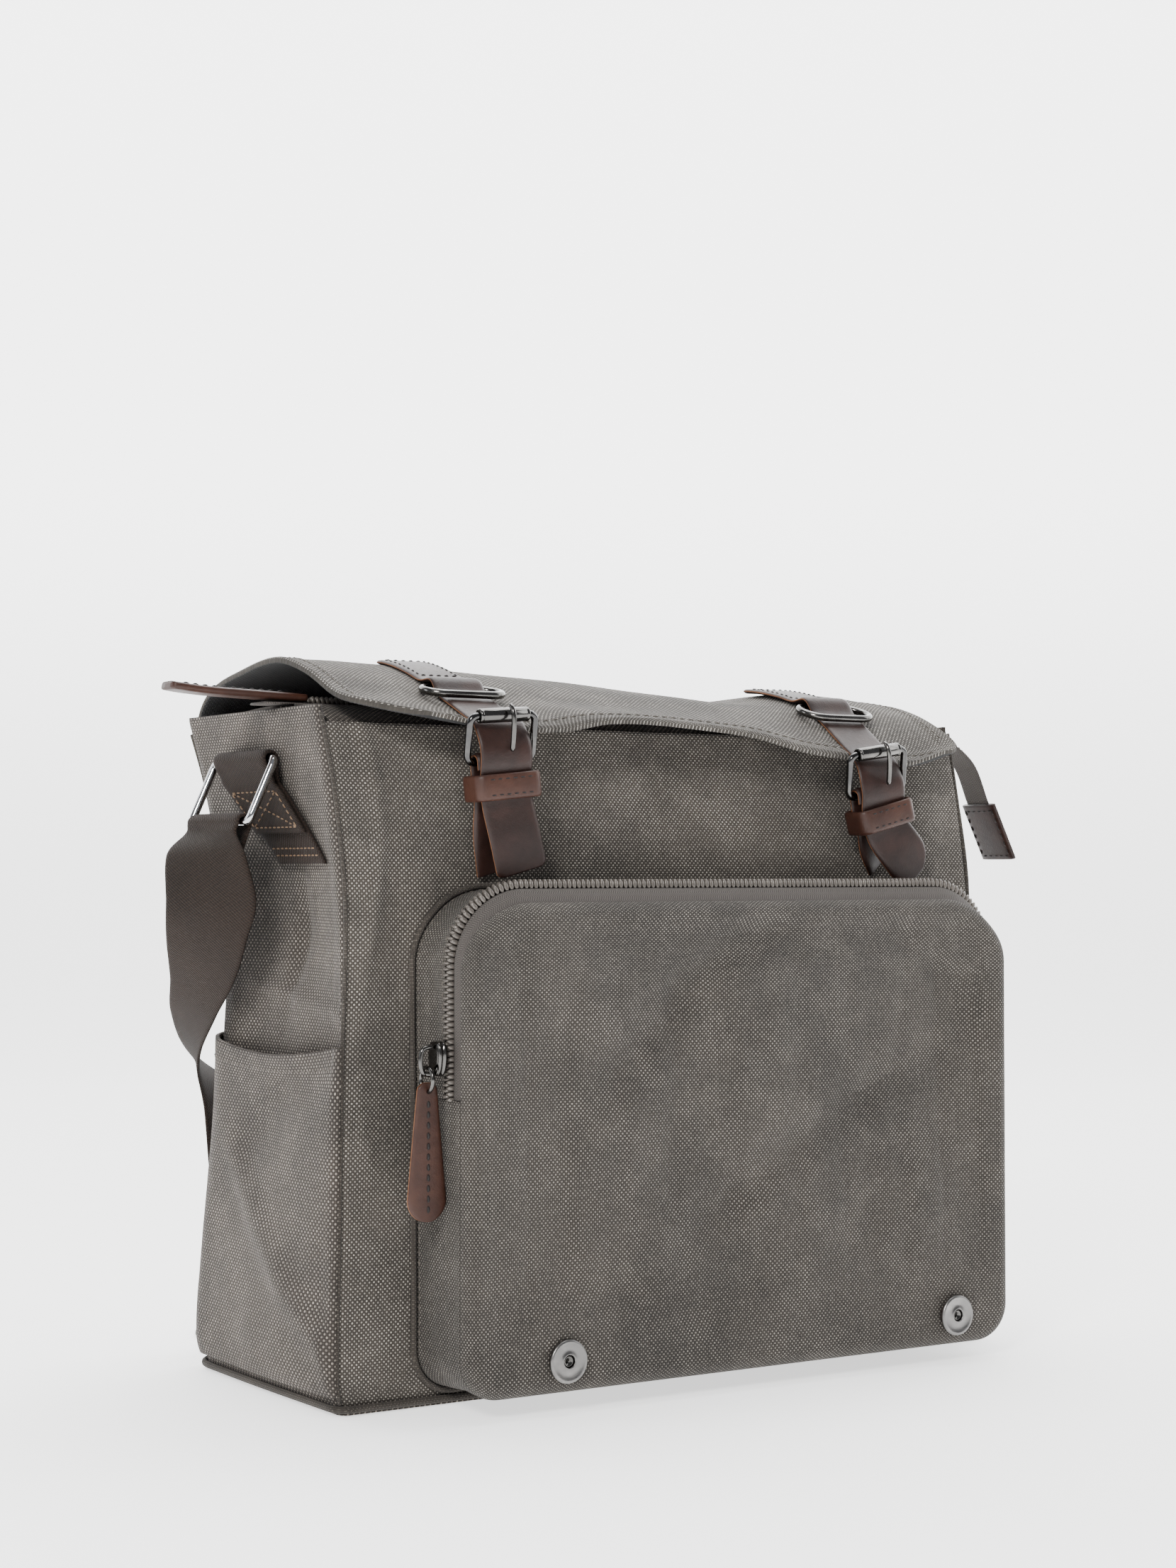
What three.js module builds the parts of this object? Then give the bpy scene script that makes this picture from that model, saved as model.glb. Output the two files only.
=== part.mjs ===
// Canvas shoulder bag with a short buckled flap, a zipped front pocket and a webbing strap.
// Millimetres, +X to the wearer's side seen from the front, front face towards -Y, +Z up.
// The origin is the centre of the underside of the base.

import * as THREE from 'three';

const { PI, sin, cos, min, max, abs, sqrt, sign, exp } = Math;

// Driving dimensions
const clear = 0.3;
const bag = { width: 342, depth: 140, height: 290, wall: 1.8, base: 2.4, frontCorner: 5 };
const piping = { radius: 1.5, height: 3 };
const sidePocket = { lift: 8, height: 142, slack: 7, sag: 6, seat: 0.7 };
const flap = { width: 322, shift: -1, rise: 23.5, thickness: 2.4, length: 205, cornerLeft: 30, cornerRight: 14 };
const pocket = { width: 288, height: 209, depth: 45, corner: 34, lift: 8, shift: 8, edge: 7, sag: 3 };
const pocketZip = { radius: 2.6, behindFace: 17, leftEnd: 129, rightEnd: 150, piping: 1.3 };
const mainZip = { y: -6, width: 16, tape: 1.2, coil: 1.8, above: 3.6 };
const zipTab = { length: 62, width: 15, thickness: 3.6, overlap: 14, climb: 4 };
const zipDroop = { reach: 55, drop: 38, tabLength: 30, tabWidth: 24, tabThickness: 3.2 };
const leather = { width: 25, thickness: 2.2 };
const buckle = { wire: 1.6, length: 20, roller: 3.1, lean: 0.27, below: 16, proud: 1.5, spare: 1.9 };
const keeper = { length: 11, thickness: 1.8, below: 5, depth: 13 };
const flapRing = { width: 37, depth: 15, wire: 1.7 };
const puller = { length: 56, topWidth: 9, endWidth: 18, thickness: 2.6, hole: 2 };
const slider = { height: 14, depth: 10, thickness: 4, wire: 1, arch: 5.5 };
const pullRing = { radius: 5, wire: 0.9 };
const closureEnd = { inset: 7, frontDrop: 10, backDrop: 5 };
const snap = { radius: 9, thickness: 1.8, hole: 2.6, left: -90, right: 118, height: 22, backing: 0.8 };
const webbing = { width: 50, thickness: 2 };
const anchor = { bottom: 225, top: 270, lowY: -28, highY: 14, straight: 10, returned: 32 };
const sideRing = { height: 30, wire: 1.8, lean: 0.45, spare: 2, corner: 3.5 };

// Sections of the body: height, half width, front, back and rear corner as shares of the
// bag's height, half width, half depth, half depth and depth, then the dent of the gussets
const SECTIONS = [
  { at: 0, half: 0.99, front: 0.985, back: 0.985, corner: 0.13, dent: 0 },
  { at: 0.05, half: 1.01, front: 1.015, back: 1.01, corner: 0.14, dent: -0.01 },
  { at: 0.25, half: 1.005, front: 1.015, back: 0.97, corner: 0.17, dent: 0 },
  { at: 0.5, half: 0.995, front: 1, back: 0.89, corner: 0.2, dent: 0.025 },
  { at: 0.72, half: 0.985, front: 0.985, back: 0.91, corner: 0.18, dent: 0.045 },
  { at: 0.88, half: 0.99, front: 0.87, back: 1.07, corner: 0.12, dent: 0.02 },
  { at: 1, half: 1, front: 0.73, back: 1.22, corner: 0.07, dent: 0 },
];

// Soft dents and swells: place across and up a panel, reach across and up, depth as a share
// of the bag's depth; a minus depth swells out
const FRONT_DENTS = [
  { u: 0.06, at: 0.72, across: 0.03, up: 0.16, depth: 0.03 },
  { u: 0.11, at: 0.78, across: 0.03, up: 0.12, depth: -0.012 },
  { u: 0.5, at: 0.9, across: 0.2, up: 0.08, depth: 0.02 },
  { u: 0.82, at: 0.86, across: 0.08, up: 0.1, depth: 0.008 },
];
const BACK_DENTS = [
  { u: 0.3, at: 0.55, across: 0.22, up: 0.25, depth: -0.03 },
  { u: 0.75, at: 0.3, across: 0.2, up: 0.2, depth: -0.02 },
];
const GUSSET_DENTS = [
  { u: 0.62, at: 0.66, across: 0.18, up: 0.07, depth: 0.02 },
  { u: 0.4, at: 0.5, across: 0.2, up: 0.12, depth: 0.012 },
  { u: 0.5, at: 0.16, across: 0.3, up: 0.12, depth: -0.015 },
];
const POCKET_DENTS = [
  { u: 0.14, at: 0.45, across: 0.05, up: 0.4, depth: 0.014 },
  { u: 0.4, at: 0.62, across: 0.07, up: 0.3, depth: 0.018 },
  { u: 0.55, at: 0.5, across: 0.08, up: 0.35, depth: -0.012 },
  { u: 0.72, at: 0.45, across: 0.05, up: 0.25, depth: 0.014 },
  { u: 0.9, at: 0.5, across: 0.07, up: 0.35, depth: 0.016 },
];

// Profile of the flap from its seam on the back to its front hem: depth as a share of half
// the bag's depth, height above the bag as a share of the flap's rise, and whether the row
// lies over the back panel
const FLAP_PROFILE = [
  { at: 0, y: 1.125, rise: -1.19, over: 1 },
  { at: 0.12, y: 1.235, rise: -0.17, over: 1 },
  { at: 0.24, y: 1.1, rise: 0.52, over: 0 },
  { at: 0.4, y: 0.64, rise: 0.86, over: 0 },
  { at: 0.58, y: 0.11, rise: 1, over: 0 },
  { at: 0.71, y: -0.29, rise: 0.74, over: 0 },
  { at: 0.85, y: -0.71, rise: 0.2, over: 0 },
  { at: 1, y: -1.1, rise: -0.38, over: 0 },
];

// Waves across the flap from left to right: lift of the ridge and of the front hem as shares
// of the flap's rise
const FLAP_WAVES = [
  { at: 0, ridge: 0.03, hem: 0.3 },
  { at: 0.14, ridge: 0, hem: 0.09 },
  { at: 0.25, ridge: -0.04, hem: 0.09 },
  { at: 0.34, ridge: -0.1, hem: 0.26 },
  { at: 0.47, ridge: -0.18, hem: 0.26 },
  { at: 0.62, ridge: -0.36, hem: 0.1 },
  { at: 0.72, ridge: -0.48, hem: -0.16 },
  { at: 0.82, ridge: -0.26, hem: -0.3 },
  { at: 0.92, ridge: -0.26, hem: -0.38 },
  { at: 1, ridge: -0.4, hem: -0.1 },
];

// The two buckled straps: place across the bag, place of the heel bar beside the hem, turn
// of the buckle and of the tail in degrees, and height of the tail's end over the pocket
const STRAPS = [
  { side: 'left', x: -0.592, heel: 1, turn: 4, tailTurn: 15, tailEnd: 2.5, round: 3 },
  { side: 'right', x: 0.592, heel: 1, turn: 8, tailTurn: 45, tailEnd: 3, round: 11 },
];

// Stations of the shoulder strap from the left ring down behind the bag to the floor:
// across, back and up as shares of half the width, half the depth and the height, then the
// turn of its width from straight back, in degrees
const STRAP_DROP = [
  { x: -1.146, y: 0.1, z: 0.79, turn: -16 },
  { x: -1.15, y: 0.06, z: 0.72, turn: -24 },
  { x: -1.13, y: 0.2, z: 0.665, turn: -16 },
  { x: -1.09, y: 0.48, z: 0.605, turn: -3 },
  { x: -1.04, y: 0.84, z: 0.545, turn: 14 },
  { x: -0.94, y: 1.22, z: 0.47, turn: 38 },
  { x: -0.83, y: 1.32, z: 0.39, turn: 60 },
  { x: -0.755, y: 1.32, z: 0.27, turn: 82 },
  { x: -0.72, y: 1.42, z: 0.12, turn: 90 },
];
const strapFloor = { bend: 26, lead: 4, straight: 135, radius: 0.7, aside: 62 };
const strapFold = { shift: 0.22, bulge: 5, length: 44 };

const materials = {
  canvas: new THREE.MeshStandardMaterial({ color: 0x6f675f, roughness: 0.92, metalness: 0 }),
  leather: new THREE.MeshStandardMaterial({ color: 0x4a3430, roughness: 0.55, metalness: 0 }),
  webbing: new THREE.MeshStandardMaterial({ color: 0x42352d, roughness: 0.85, metalness: 0 }),
  gunmetal: new THREE.MeshStandardMaterial({ color: 0x5c5e60, roughness: 0.25, metalness: 1 }),
  nickel: new THREE.MeshStandardMaterial({ color: 0x9a9a98, roughness: 0.3, metalness: 1 }),
};

const group = new THREE.Group();

function add(name, geometry, material) {
  const mesh = new THREE.Mesh(geometry, material);
  mesh.name = name;
  group.add(mesh);
  return mesh;
}

// Numbers and tables

const radians = (degrees) => (degrees * PI) / 180;
const steps = (count) => Array.from({ length: count + 1 }, (_, i) => i / count);
const vector = (x, y, z) => new THREE.Vector3(x, y, z);
const mix = (a, b, t) => a + (b - a) * t;

function ease(from, to, value) {
  const t = min(max((value - from) / (to - from), 0), 1);
  return t * t * (3 - 2 * t);
}

// Smooth reading of one column of a table between its rows
function read(table, column, at) {
  const last = table.length - 1;
  let i = 0;
  while (i < last - 1 && at > table[i + 1].at) i += 1;
  const [before, here, next, after] = [max(i - 1, 0), i, i + 1, min(i + 2, last)].map((k) => table[k]);
  const span = next.at - here.at;
  const t = min(max((at - here.at) / span, 0), 1);
  const slopeHere = ((next[column] - before[column]) / (next.at - before.at)) * span;
  const slopeNext = ((after[column] - here[column]) / (after.at - here.at)) * span;
  return (
    here[column] * (2 * t ** 3 - 3 * t ** 2 + 1) +
    slopeHere * (t ** 3 - 2 * t ** 2 + t) +
    next[column] * (3 * t ** 2 - 2 * t ** 3) +
    slopeNext * (t ** 3 - t ** 2)
  );
}

function dentsAt(table, u, at) {
  const depth = (row) => row.depth * exp(-(((u - row.u) / row.across) ** 2) - ((at - row.at) / row.up) ** 2);
  return table.reduce((sum, row) => sum + depth(row), 0) * bag.depth;
}

// Closed surfaces

// A closed mesh from corner points and triangles, turned so that its faces point out
function closedMesh(points, triangles) {
  const a = vector();
  let volume = 0;
  for (let i = 0; i < triangles.length; i += 3) {
    const [p, q, r] = [0, 1, 2].map((k) => points[triangles[i + k]]);
    volume += a.crossVectors(p, q).dot(r);
  }
  const geometry = new THREE.BufferGeometry().setFromPoints(points);
  geometry.setIndex(volume < 0 ? triangles.slice().reverse() : triangles);
  geometry.computeVertexNormals();
  return geometry;
}

// A wall between an outer and an inner grid of points, closed along its rims; a wrapped wall
// joins its last column to its first
function slab(outer, inner, wrap = false) {
  const rows = outer.length;
  const columns = outer[0].length;
  const shift = rows * columns;
  const triangles = [];
  const quad = (a, b, c, d) => triangles.push(a, b, c, a, c, d);
  const width = wrap ? columns : columns - 1;
  for (let c = 0; c < width; c += 1) {
    const n = (c + 1) % columns;
    const top = (rows - 1) * columns;
    for (let r = 0; r < rows - 1; r += 1) {
      const [low, high] = [r * columns, (r + 1) * columns];
      quad(low + c, low + n, high + n, high + c);
      quad(shift + low + c, shift + high + c, shift + high + n, shift + low + n);
    }
    quad(shift + c, shift + n, n, c);
    quad(top + c, top + n, shift + top + n, shift + top + c);
  }
  if (!wrap) {
    for (let r = 0; r < rows - 1; r += 1) {
      const [low, high] = [r * columns, (r + 1) * columns];
      const end = columns - 1;
      quad(low, high, shift + high, shift + low);
      quad(low + end, shift + low + end, shift + high + end, high + end);
    }
  }
  return closedMesh([...outer.flat(), ...inner.flat()], triangles);
}

// A sheet given as point(row, column, depth), where depth runs from 0 outside to 1 inside
function sheet(rows, columns, point, wrap = false) {
  const grid = (depth) => rows.map((r) => columns.map((c) => point(r, c, depth)));
  return slab(grid(0), grid(1), wrap);
}

// A round bar through points, either open with flat ends or closed on itself
function bar(points, radius, sides, reference, closed) {
  const count = points.length;
  const rings = points.map((p, i) => {
    const before = points[closed ? (i + count - 1) % count : max(i - 1, 0)];
    const after = points[closed ? (i + 1) % count : min(i + 1, count - 1)];
    const along = vector().subVectors(after, before).normalize();
    const up = reference.clone().addScaledVector(along, -reference.dot(along)).normalize();
    const across = vector().crossVectors(up, along);
    return steps(sides).slice(0, sides).map((share) => {
      const angle = 2 * PI * share;
      return p.clone().addScaledVector(across, radius * cos(angle)).addScaledVector(up, radius * sin(angle));
    });
  });
  const triangles = [];
  const quad = (a, b, c, d) => triangles.push(a, b, c, a, c, d);
  for (let r = 0; r < (closed ? count : count - 1); r += 1) {
    const [low, high] = [r * sides, ((r + 1) % count) * sides];
    for (let c = 0; c < sides; c += 1) quad(low + c, low + ((c + 1) % sides), high + ((c + 1) % sides), high + c);
  }
  if (!closed) {
    const top = (count - 1) * sides;
    for (let c = 1; c < sides - 1; c += 1) triangles.push(0, c + 1, c, top, top + c, top + c + 1);
  }
  return closedMesh(rings.flat(), triangles);
}

// Corner points of a rounded rectangle in the plane of two unit axes
function roundedLoop(centre, axisA, axisB, halfA, halfB, corner, arcSteps) {
  const points = [];
  for (let quarter = 0; quarter < 4; quarter += 1) {
    const signA = quarter === 0 || quarter === 3 ? 1 : -1;
    const signB = quarter < 2 ? 1 : -1;
    for (const share of steps(arcSteps)) {
      const angle = ((quarter + share) * PI) / 2;
      points.push(
        centre.clone()
          .addScaledVector(axisA, signA * (halfA - corner) + corner * cos(angle))
          .addScaledVector(axisB, signB * (halfB - corner) + corner * sin(angle)),
      );
    }
  }
  return points;
}

// A smooth line through points, read at even shares of its stations
function smoothLine(points, perSpan) {
  const curve = new THREE.CatmullRomCurve3(points, false, 'centripetal');
  return steps((points.length - 1) * perSpan).map((share) => curve.getPoint(share));
}

// The body

function section(z) {
  const at = z / bag.height;
  return {
    half: (read(SECTIONS, 'half', at) * bag.width) / 2,
    front: (-read(SECTIONS, 'front', at) * bag.depth) / 2,
    back: (read(SECTIONS, 'back', at) * bag.depth) / 2,
    corner: read(SECTIONS, 'corner', at) * bag.depth,
    dent: read(SECTIONS, 'dent', at) * bag.depth,
  };
}

// Each wall starts at a sharp corner of its section, runs along it and faces out
const WALLS = {
  front: (s) => ({ start: [-s.half, s.front], along: [1, 0], out: [0, -1], length: 2 * s.half, first: bag.frontCorner, last: bag.frontCorner }),
  right: (s) => ({ start: [s.half, s.front], along: [0, 1], out: [1, 0], length: s.back - s.front, first: bag.frontCorner, last: s.corner }),
  back: (s) => ({ start: [s.half, s.back], along: [-1, 0], out: [0, 1], length: 2 * s.half, first: s.corner, last: s.corner }),
  left: (s) => ({ start: [-s.half, s.back], along: [0, -1], out: [-1, 0], length: s.back - s.front, first: s.corner, last: bag.frontCorner }),
};

// How far a wall swells out of its plain section; seams stay where they are
function swell(name, u, z) {
  const at = z / bag.height;
  const fade = ease(0, 0.12, u) * ease(0, 0.12, 1 - u);
  if (name === 'front') return -dentsAt(FRONT_DENTS, u, at) * fade;
  if (name === 'back') return -dentsAt(BACK_DENTS, u, at) * fade;
  const across = name === 'left' ? u : 1 - u;
  return -(section(z).dent * sin(PI * u) + dentsAt(GUSSET_DENTS, across, at)) * fade;
}

// A point of a wall at a share of its run and a height, set in from its outer face
function wallPoint(name, u, z, inset) {
  const wall = WALLS[name](section(z));
  const arcs = [(wall.first * PI) / 4, (wall.last * PI) / 4];
  const straight = wall.length - wall.first - wall.last;
  const run = u * (arcs[0] + straight + arcs[1]);
  let [s, d, ns, nd] = [wall.first + run - arcs[0], 0, 0, 1];
  if (run < arcs[0]) {
    const angle = PI / 4 + run / wall.first;
    [s, d] = [wall.first * (1 - cos(angle)), wall.first * (1 - sin(angle))];
    [ns, nd] = [-cos(angle), sin(angle)];
  } else if (run > arcs[0] + straight) {
    const angle = PI / 2 - (run - arcs[0] - straight) / wall.last;
    [s, d] = [wall.length - wall.last * (1 - cos(angle)), wall.last * (1 - sin(angle))];
    [ns, nd] = [cos(angle), sin(angle)];
  }
  const out = swell(name, u, z) - inset;
  const [along, outward] = [s + ns * out, -d + nd * out];
  return vector(
    wall.start[0] + wall.along[0] * along + wall.out[0] * outward,
    wall.start[1] + wall.along[1] * along + wall.out[1] * outward,
    z,
  );
}

// The share of a wall's run at a distance along it from its first corner
function wallShare(name, z, distance) {
  const wall = WALLS[name](section(z));
  const arcs = ((wall.first + wall.last) * PI) / 4;
  return ((wall.first * PI) / 4 + distance - wall.first) / (arcs + wall.length - wall.first - wall.last);
}

const frontAt = (x, z) => wallPoint('front', wallShare('front', z, x + section(z).half), z, 0).y;
const gussetAt = (name, y, z, proud) => {
  const s = section(z);
  return wallPoint(name, wallShare(name, z, name === 'left' ? s.back - y : y - s.front), z, -proud);
};

// Shares of a wall's run from seam to seam: over its first corner, along it and over its last
function runShares(name, count) {
  const wall = WALLS[name](section(bag.height / 4));
  const arcs = [(wall.first * PI) / 4, (wall.last * PI) / 4];
  const run = arcs[0] + arcs[1] + wall.length - wall.first - wall.last;
  const [from, to] = [arcs[0] / run, 1 - arcs[1] / run];
  const straight = steps(count).map((share) => mix(from, to, share));
  return [0, from / 2, ...straight, (1 + to) / 2, 1];
}

// The same shares, with the ends kept clear of the seams
function seamShares(name, count) {
  const trim = clear / bag.width;
  return runShares(name, count).map((share) => mix(trim, 1 - trim, share));
}

const gussetColumns = 7;
const gussetRows = 10;
const gussetTop = bag.height + 1.5;
const wallHeights = (rows, top) => steps(rows).map((share) => mix(bag.base + clear, top, share));

function bodyWall(node, name, columns, rows, top) {
  const heights = wallHeights(rows, top);
  const point = (z, u, depth) => wallPoint(name, u, z, depth * bag.wall);
  add(node, sheet(heights, seamShares(name, columns), point), materials.canvas);
}

function basePanel() {
  const s = section(0);
  const front = bag.frontCorner;
  const outline = new THREE.Shape();
  outline.absarc(-s.half + front, s.front + front, front, PI, 1.5 * PI);
  outline.absarc(s.half - front, s.front + front, front, 1.5 * PI, 2 * PI);
  outline.absarc(s.half - s.corner, s.back - s.corner, s.corner, 0, 0.5 * PI);
  outline.absarc(-s.half + s.corner, s.back - s.corner, s.corner, 0.5 * PI, PI);
  const options = { depth: bag.base, bevelEnabled: false, curveSegments: 5 };
  add('base_panel', new THREE.ExtrudeGeometry(outline, options), materials.canvas);
}

function basePiping() {
  const runs = [['front', 8], ['right', 4], ['back', 8], ['left', 4]];
  const proud = piping.radius + clear;
  const points = runs.flatMap(([name, count]) =>
    runShares(name, count).slice(1).map((share) => wallPoint(name, share, piping.height, -proud)),
  );
  add('base_piping', bar(points, piping.radius, 4, vector(0, 0, 1), true), materials.canvas);
}

// An open pocket on a gusset: sewn in along its sides and foot, slack along its hem
function gussetPocket(node, name) {
  const hem = sidePocket.lift + sidePocket.height;
  const between = wallHeights(gussetRows, gussetTop).filter((z) => z > sidePocket.lift + 4 && z < hem - 24);
  const point = (z, u, depth) => {
    const share = (z - sidePocket.lift) / sidePocket.height;
    const sag = z === hem ? sidePocket.sag * sin(PI * u) : 0;
    const proud = sidePocket.seat + sidePocket.slack * share ** 3 * sin(PI * u);
    return wallPoint(name, u, z - sag, -(proud + (1 - depth) * bag.wall));
  };
  const heights = [sidePocket.lift, ...between, hem];
  add(node, sheet(heights, seamShares(name, gussetColumns), point), materials.canvas);
}

// The flap

function flapHalfWidth(v, side) {
  const corner = side < 0 ? flap.cornerLeft : flap.cornerRight;
  const toHem = min((1 - v) * flap.length, corner);
  return flap.width / 2 - corner + sqrt(corner ** 2 - (corner - toHem) ** 2);
}

function flapX(u, v) {
  const a = 2 * u - 1;
  return flap.shift + a * flapHalfWidth(v, a);
}

function flapShare(x, v) {
  const a = x - flap.shift;
  return (a / flapHalfWidth(v, a) + 1) / 2;
}

function flapSurface(u, v) {
  const over = read(FLAP_PROFILE, 'over', v) * (flap.thickness + clear);
  const y = (read(FLAP_PROFILE, 'y', v) * bag.depth) / 2 + over;
  const ridge = read(FLAP_WAVES, 'ridge', u) * exp(-(((v - 0.56) / 0.22) ** 2));
  const hem = read(FLAP_WAVES, 'hem', u) * ease(0.8, 1, v);
  return vector(flapX(u, v), y, bag.height + flap.rise * (read(FLAP_PROFILE, 'rise', v) + ridge + hem));
}

function flapNormal(u, v) {
  const [du, dv] = [0.01, 0.01];
  const across = vector().subVectors(flapSurface(min(u + du, 1), v), flapSurface(max(u - du, 0), v));
  const [low, high] = [max(v - dv, 0), min(v + dv, 1)];
  const run = vector().subVectors(flapSurface(u, high), flapSurface(u, low));
  run.x = 0;
  across.y = 0;
  return vector().crossVectors(run, across).normalize();
}

// A point over the flap's outer face at a height along its normal
function overFlap(x, v, height) {
  const u = min(max(flapShare(x, v), 0), 1);
  return flapSurface(u, v).addScaledVector(flapNormal(u, v), height);
}

const flapRows = steps(14).map((share) => share ** 0.9);

function flapSheet() {
  const columns = steps(20);
  const point = (v, u, depth) => {
    const p = flapSurface(u, v);
    return p.addScaledVector(flapNormal(u, v), -depth * flap.thickness);
  };
  add('flap', sheet(flapRows, columns, point), materials.canvas);
}

// The closure under the flap and the main zip

const zipLevel = bag.height + mainZip.above;

function closureStrip(node, fromY, toY, tilt) {
  const half = bag.width / 2 - closureEnd.inset;
  const point = (x, share, depth) => {
    const z = zipLevel - tilt * (1 - share) ** 2 - depth * bag.wall;
    return vector(x * half, mix(fromY, toY, share), z);
  };
  add(node, sheet(steps(6).map((s) => 2 * s - 1), steps(3), point), materials.canvas);
}

function closure() {
  const s = section(bag.height);
  const edge = mainZip.width / 2 + clear;
  closureStrip('closure_front', s.front + bag.wall + clear, mainZip.y - edge, closureEnd.frontDrop);
  closureStrip('closure_back', s.back - bag.wall - clear, mainZip.y + edge, closureEnd.backDrop);
}

// The run of the main zip from its left end to its drooping right end
function zipRun(from, to, height) {
  const half = bag.width / 2;
  const line = [
    vector(-half - 6, mainZip.y, zipLevel),
    vector(-half * 0.5, mainZip.y, zipLevel),
    vector(half * 0.5, mainZip.y, zipLevel),
    vector(half, mainZip.y, zipLevel),
    vector(half + zipDroop.reach * 0.45, mainZip.y - 1, zipLevel - zipDroop.drop * 0.12),
    vector(half + zipDroop.reach * 0.82, mainZip.y - 2, zipLevel - zipDroop.drop * 0.45),
    vector(half + zipDroop.reach, mainZip.y - 3, zipLevel - zipDroop.drop),
  ];
  const curve = new THREE.CatmullRomCurve3(line, false, 'centripetal');
  return steps(16).map((share) => {
    const t = mix(from, to, share);
    const along = curve.getTangent(t);
    const up = vector(-along.z, 0, along.x).normalize();
    return { p: curve.getPoint(t).addScaledVector(up, height), up, along };
  });
}

function ribbon(stations, width, thickness, across) {
  const point = (k, side, depth) =>
    stations[k].p.clone()
      .addScaledVector(across, (side * width) / 2)
      .addScaledVector(stations[k].up, (0.5 - depth) * thickness);
  return sheet(stations.map((_, k) => k), [-1, 1], point);
}

function mainZipPieces() {
  const across = vector(0, 1, 0);
  add('main_zip_tape', ribbon(zipRun(0, 1, 0), mainZip.width, mainZip.tape, across), materials.canvas);
  const lift = mainZip.tape / 2 + clear + mainZip.coil;
  const coil = zipRun(0.045, 0.97, lift).map((station) => station.p);
  add('main_zip_coil', bar(coil, mainZip.coil, 5, across, false), materials.gunmetal);
  const half = bag.width / 2;
  const bottom = zipLevel + mainZip.tape / 2 + clear + zipTab.thickness / 2;
  const tab = steps(6).map((share) => {
    const x = -half + zipTab.overlap - zipTab.length * share;
    return { p: vector(x, mainZip.y, bottom + zipTab.climb * share ** 2), up: vector(0, 0, 1) };
  });
  add('main_zip_tab_left', ribbon(tab, zipTab.width, zipTab.thickness, across), materials.leather);
  const end = zipRun(0, 1, 0).at(-1);
  const hang = steps(2).map((share) => ({
    p: end.p.clone().addScaledVector(end.along, clear + zipDroop.tabLength * share),
    up: end.up,
  }));
  add('main_zip_tab_right', ribbon(hang, zipDroop.tabWidth, zipDroop.tabThickness, across), materials.leather);
}

// The front pocket

const pocketShape = {
  x: pocket.shift,
  z: pocket.lift + pocket.height / 2,
  halfWidth: pocket.width / 2,
  halfHeight: pocket.height / 2,
  corner: pocket.corner,
};
const pocketFront = -bag.depth / 2 - pocket.depth;
const coilY = pocketFront + pocketZip.behindFace;

function outlineLegs(shape) {
  const flat = shape.halfWidth - shape.corner;
  const tall = 2 * (shape.halfHeight - shape.corner);
  const arc = (PI * shape.corner) / 2;
  return [flat, arc, tall, arc, 2 * flat, arc, tall, arc, flat];
}

// A point of the pocket's outline at a run from the middle of its foot, over its left side
function outlineAt(shape, run) {
  let heading = PI;
  let [x, z] = [shape.x, shape.z - shape.halfHeight];
  let rest = run;
  outlineLegs(shape).forEach((length, k) => {
    const step = min(max(rest, 0), length);
    rest -= length;
    if (k % 2 === 0) {
      x += cos(heading) * step;
      z += sin(heading) * step;
      return;
    }
    const turned = heading - step / shape.corner;
    x += shape.corner * (sin(heading) - sin(turned));
    z += shape.corner * (cos(turned) - cos(heading));
    heading = turned;
  });
  return { x, z, nx: -sin(heading), nz: cos(heading) };
}

const outlineLength = outlineLegs(pocketShape).reduce((sum, leg) => sum + leg, 0);
const upTo = (z) => {
  const [flat, arc] = outlineLegs(pocketShape);
  return flat + arc + (z - pocket.lift - pocket.corner);
};
const zipStart = upTo(pocketZip.leftEnd);
const zipEnd = outlineLength - upTo(pocketZip.rightEnd);

// Runs along the outline from one place to another, closer together round its corners
function outlineRuns(from, to) {
  const marks = [from];
  let passed = 0;
  for (const round of [0, 1]) {
    passed = round * outlineLength;
    outlineLegs(pocketShape).forEach((length, k) => {
      const count = k % 2 === 0 ? max(1, Math.round(length / 45)) : 4;
      for (const share of steps(count)) {
        const run = passed + length * share;
        if (run > marks.at(-1) + 1 && run < to - 1) marks.push(run);
      }
      passed += length;
    });
  }
  return [...marks, to];
}

function pocketPoint(run, y, inset, rear) {
  const o = outlineAt(pocketShape, run % outlineLength);
  const x = o.x - o.nx * inset;
  const z = o.z - o.nz * inset - pocket.sag * max(o.nz, 0) * rear;
  return vector(x, rear === 1 ? frontAt(x, z) - clear : y, z);
}

// A strip of the pocket's side between two depths, along part of its outline
function pocketStrip(node, runs, rearY, frontY, inset, material) {
  const rows = rearY === null ? [1, 0.5, 0] : [0, 0];
  const point = (k, run, depth) => {
    const y = rearY === null ? mix(frontY, -bag.depth / 2, rows[k]) : [rearY, frontY][k];
    return pocketPoint(run, y, inset + depth * bag.wall, rows[k]);
  };
  add(node, sheet(rows.map((_, k) => k), runs, point), material);
}

function insideOutline(shape, x, z) {
  const qx = abs(x - shape.x) - (shape.halfWidth - shape.corner);
  const qz = abs(z - shape.z) - (shape.halfHeight - shape.corner);
  return shape.corner - sqrt(max(qx, 0) ** 2 + max(qz, 0) ** 2) - min(max(qx, qz), 0);
}

function pocketFaceY(shape, edge, x, z) {
  const inside = min(insideOutline(shape, x, z), edge);
  const turn = edge - sqrt(max(edge ** 2 - (edge - inside) ** 2, 0));
  const u = (x - pocketShape.x) / pocket.width + 0.5;
  const at = (z - pocket.lift) / pocket.height;
  const fade = ease(0, 0.14, u) * ease(0, 0.14, 1 - u) * ease(0.12, 0.3, at) * ease(0, 0.1, 1 - at);
  return turn + dentsAt(POCKET_DENTS, u, at) * fade;
}

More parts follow.
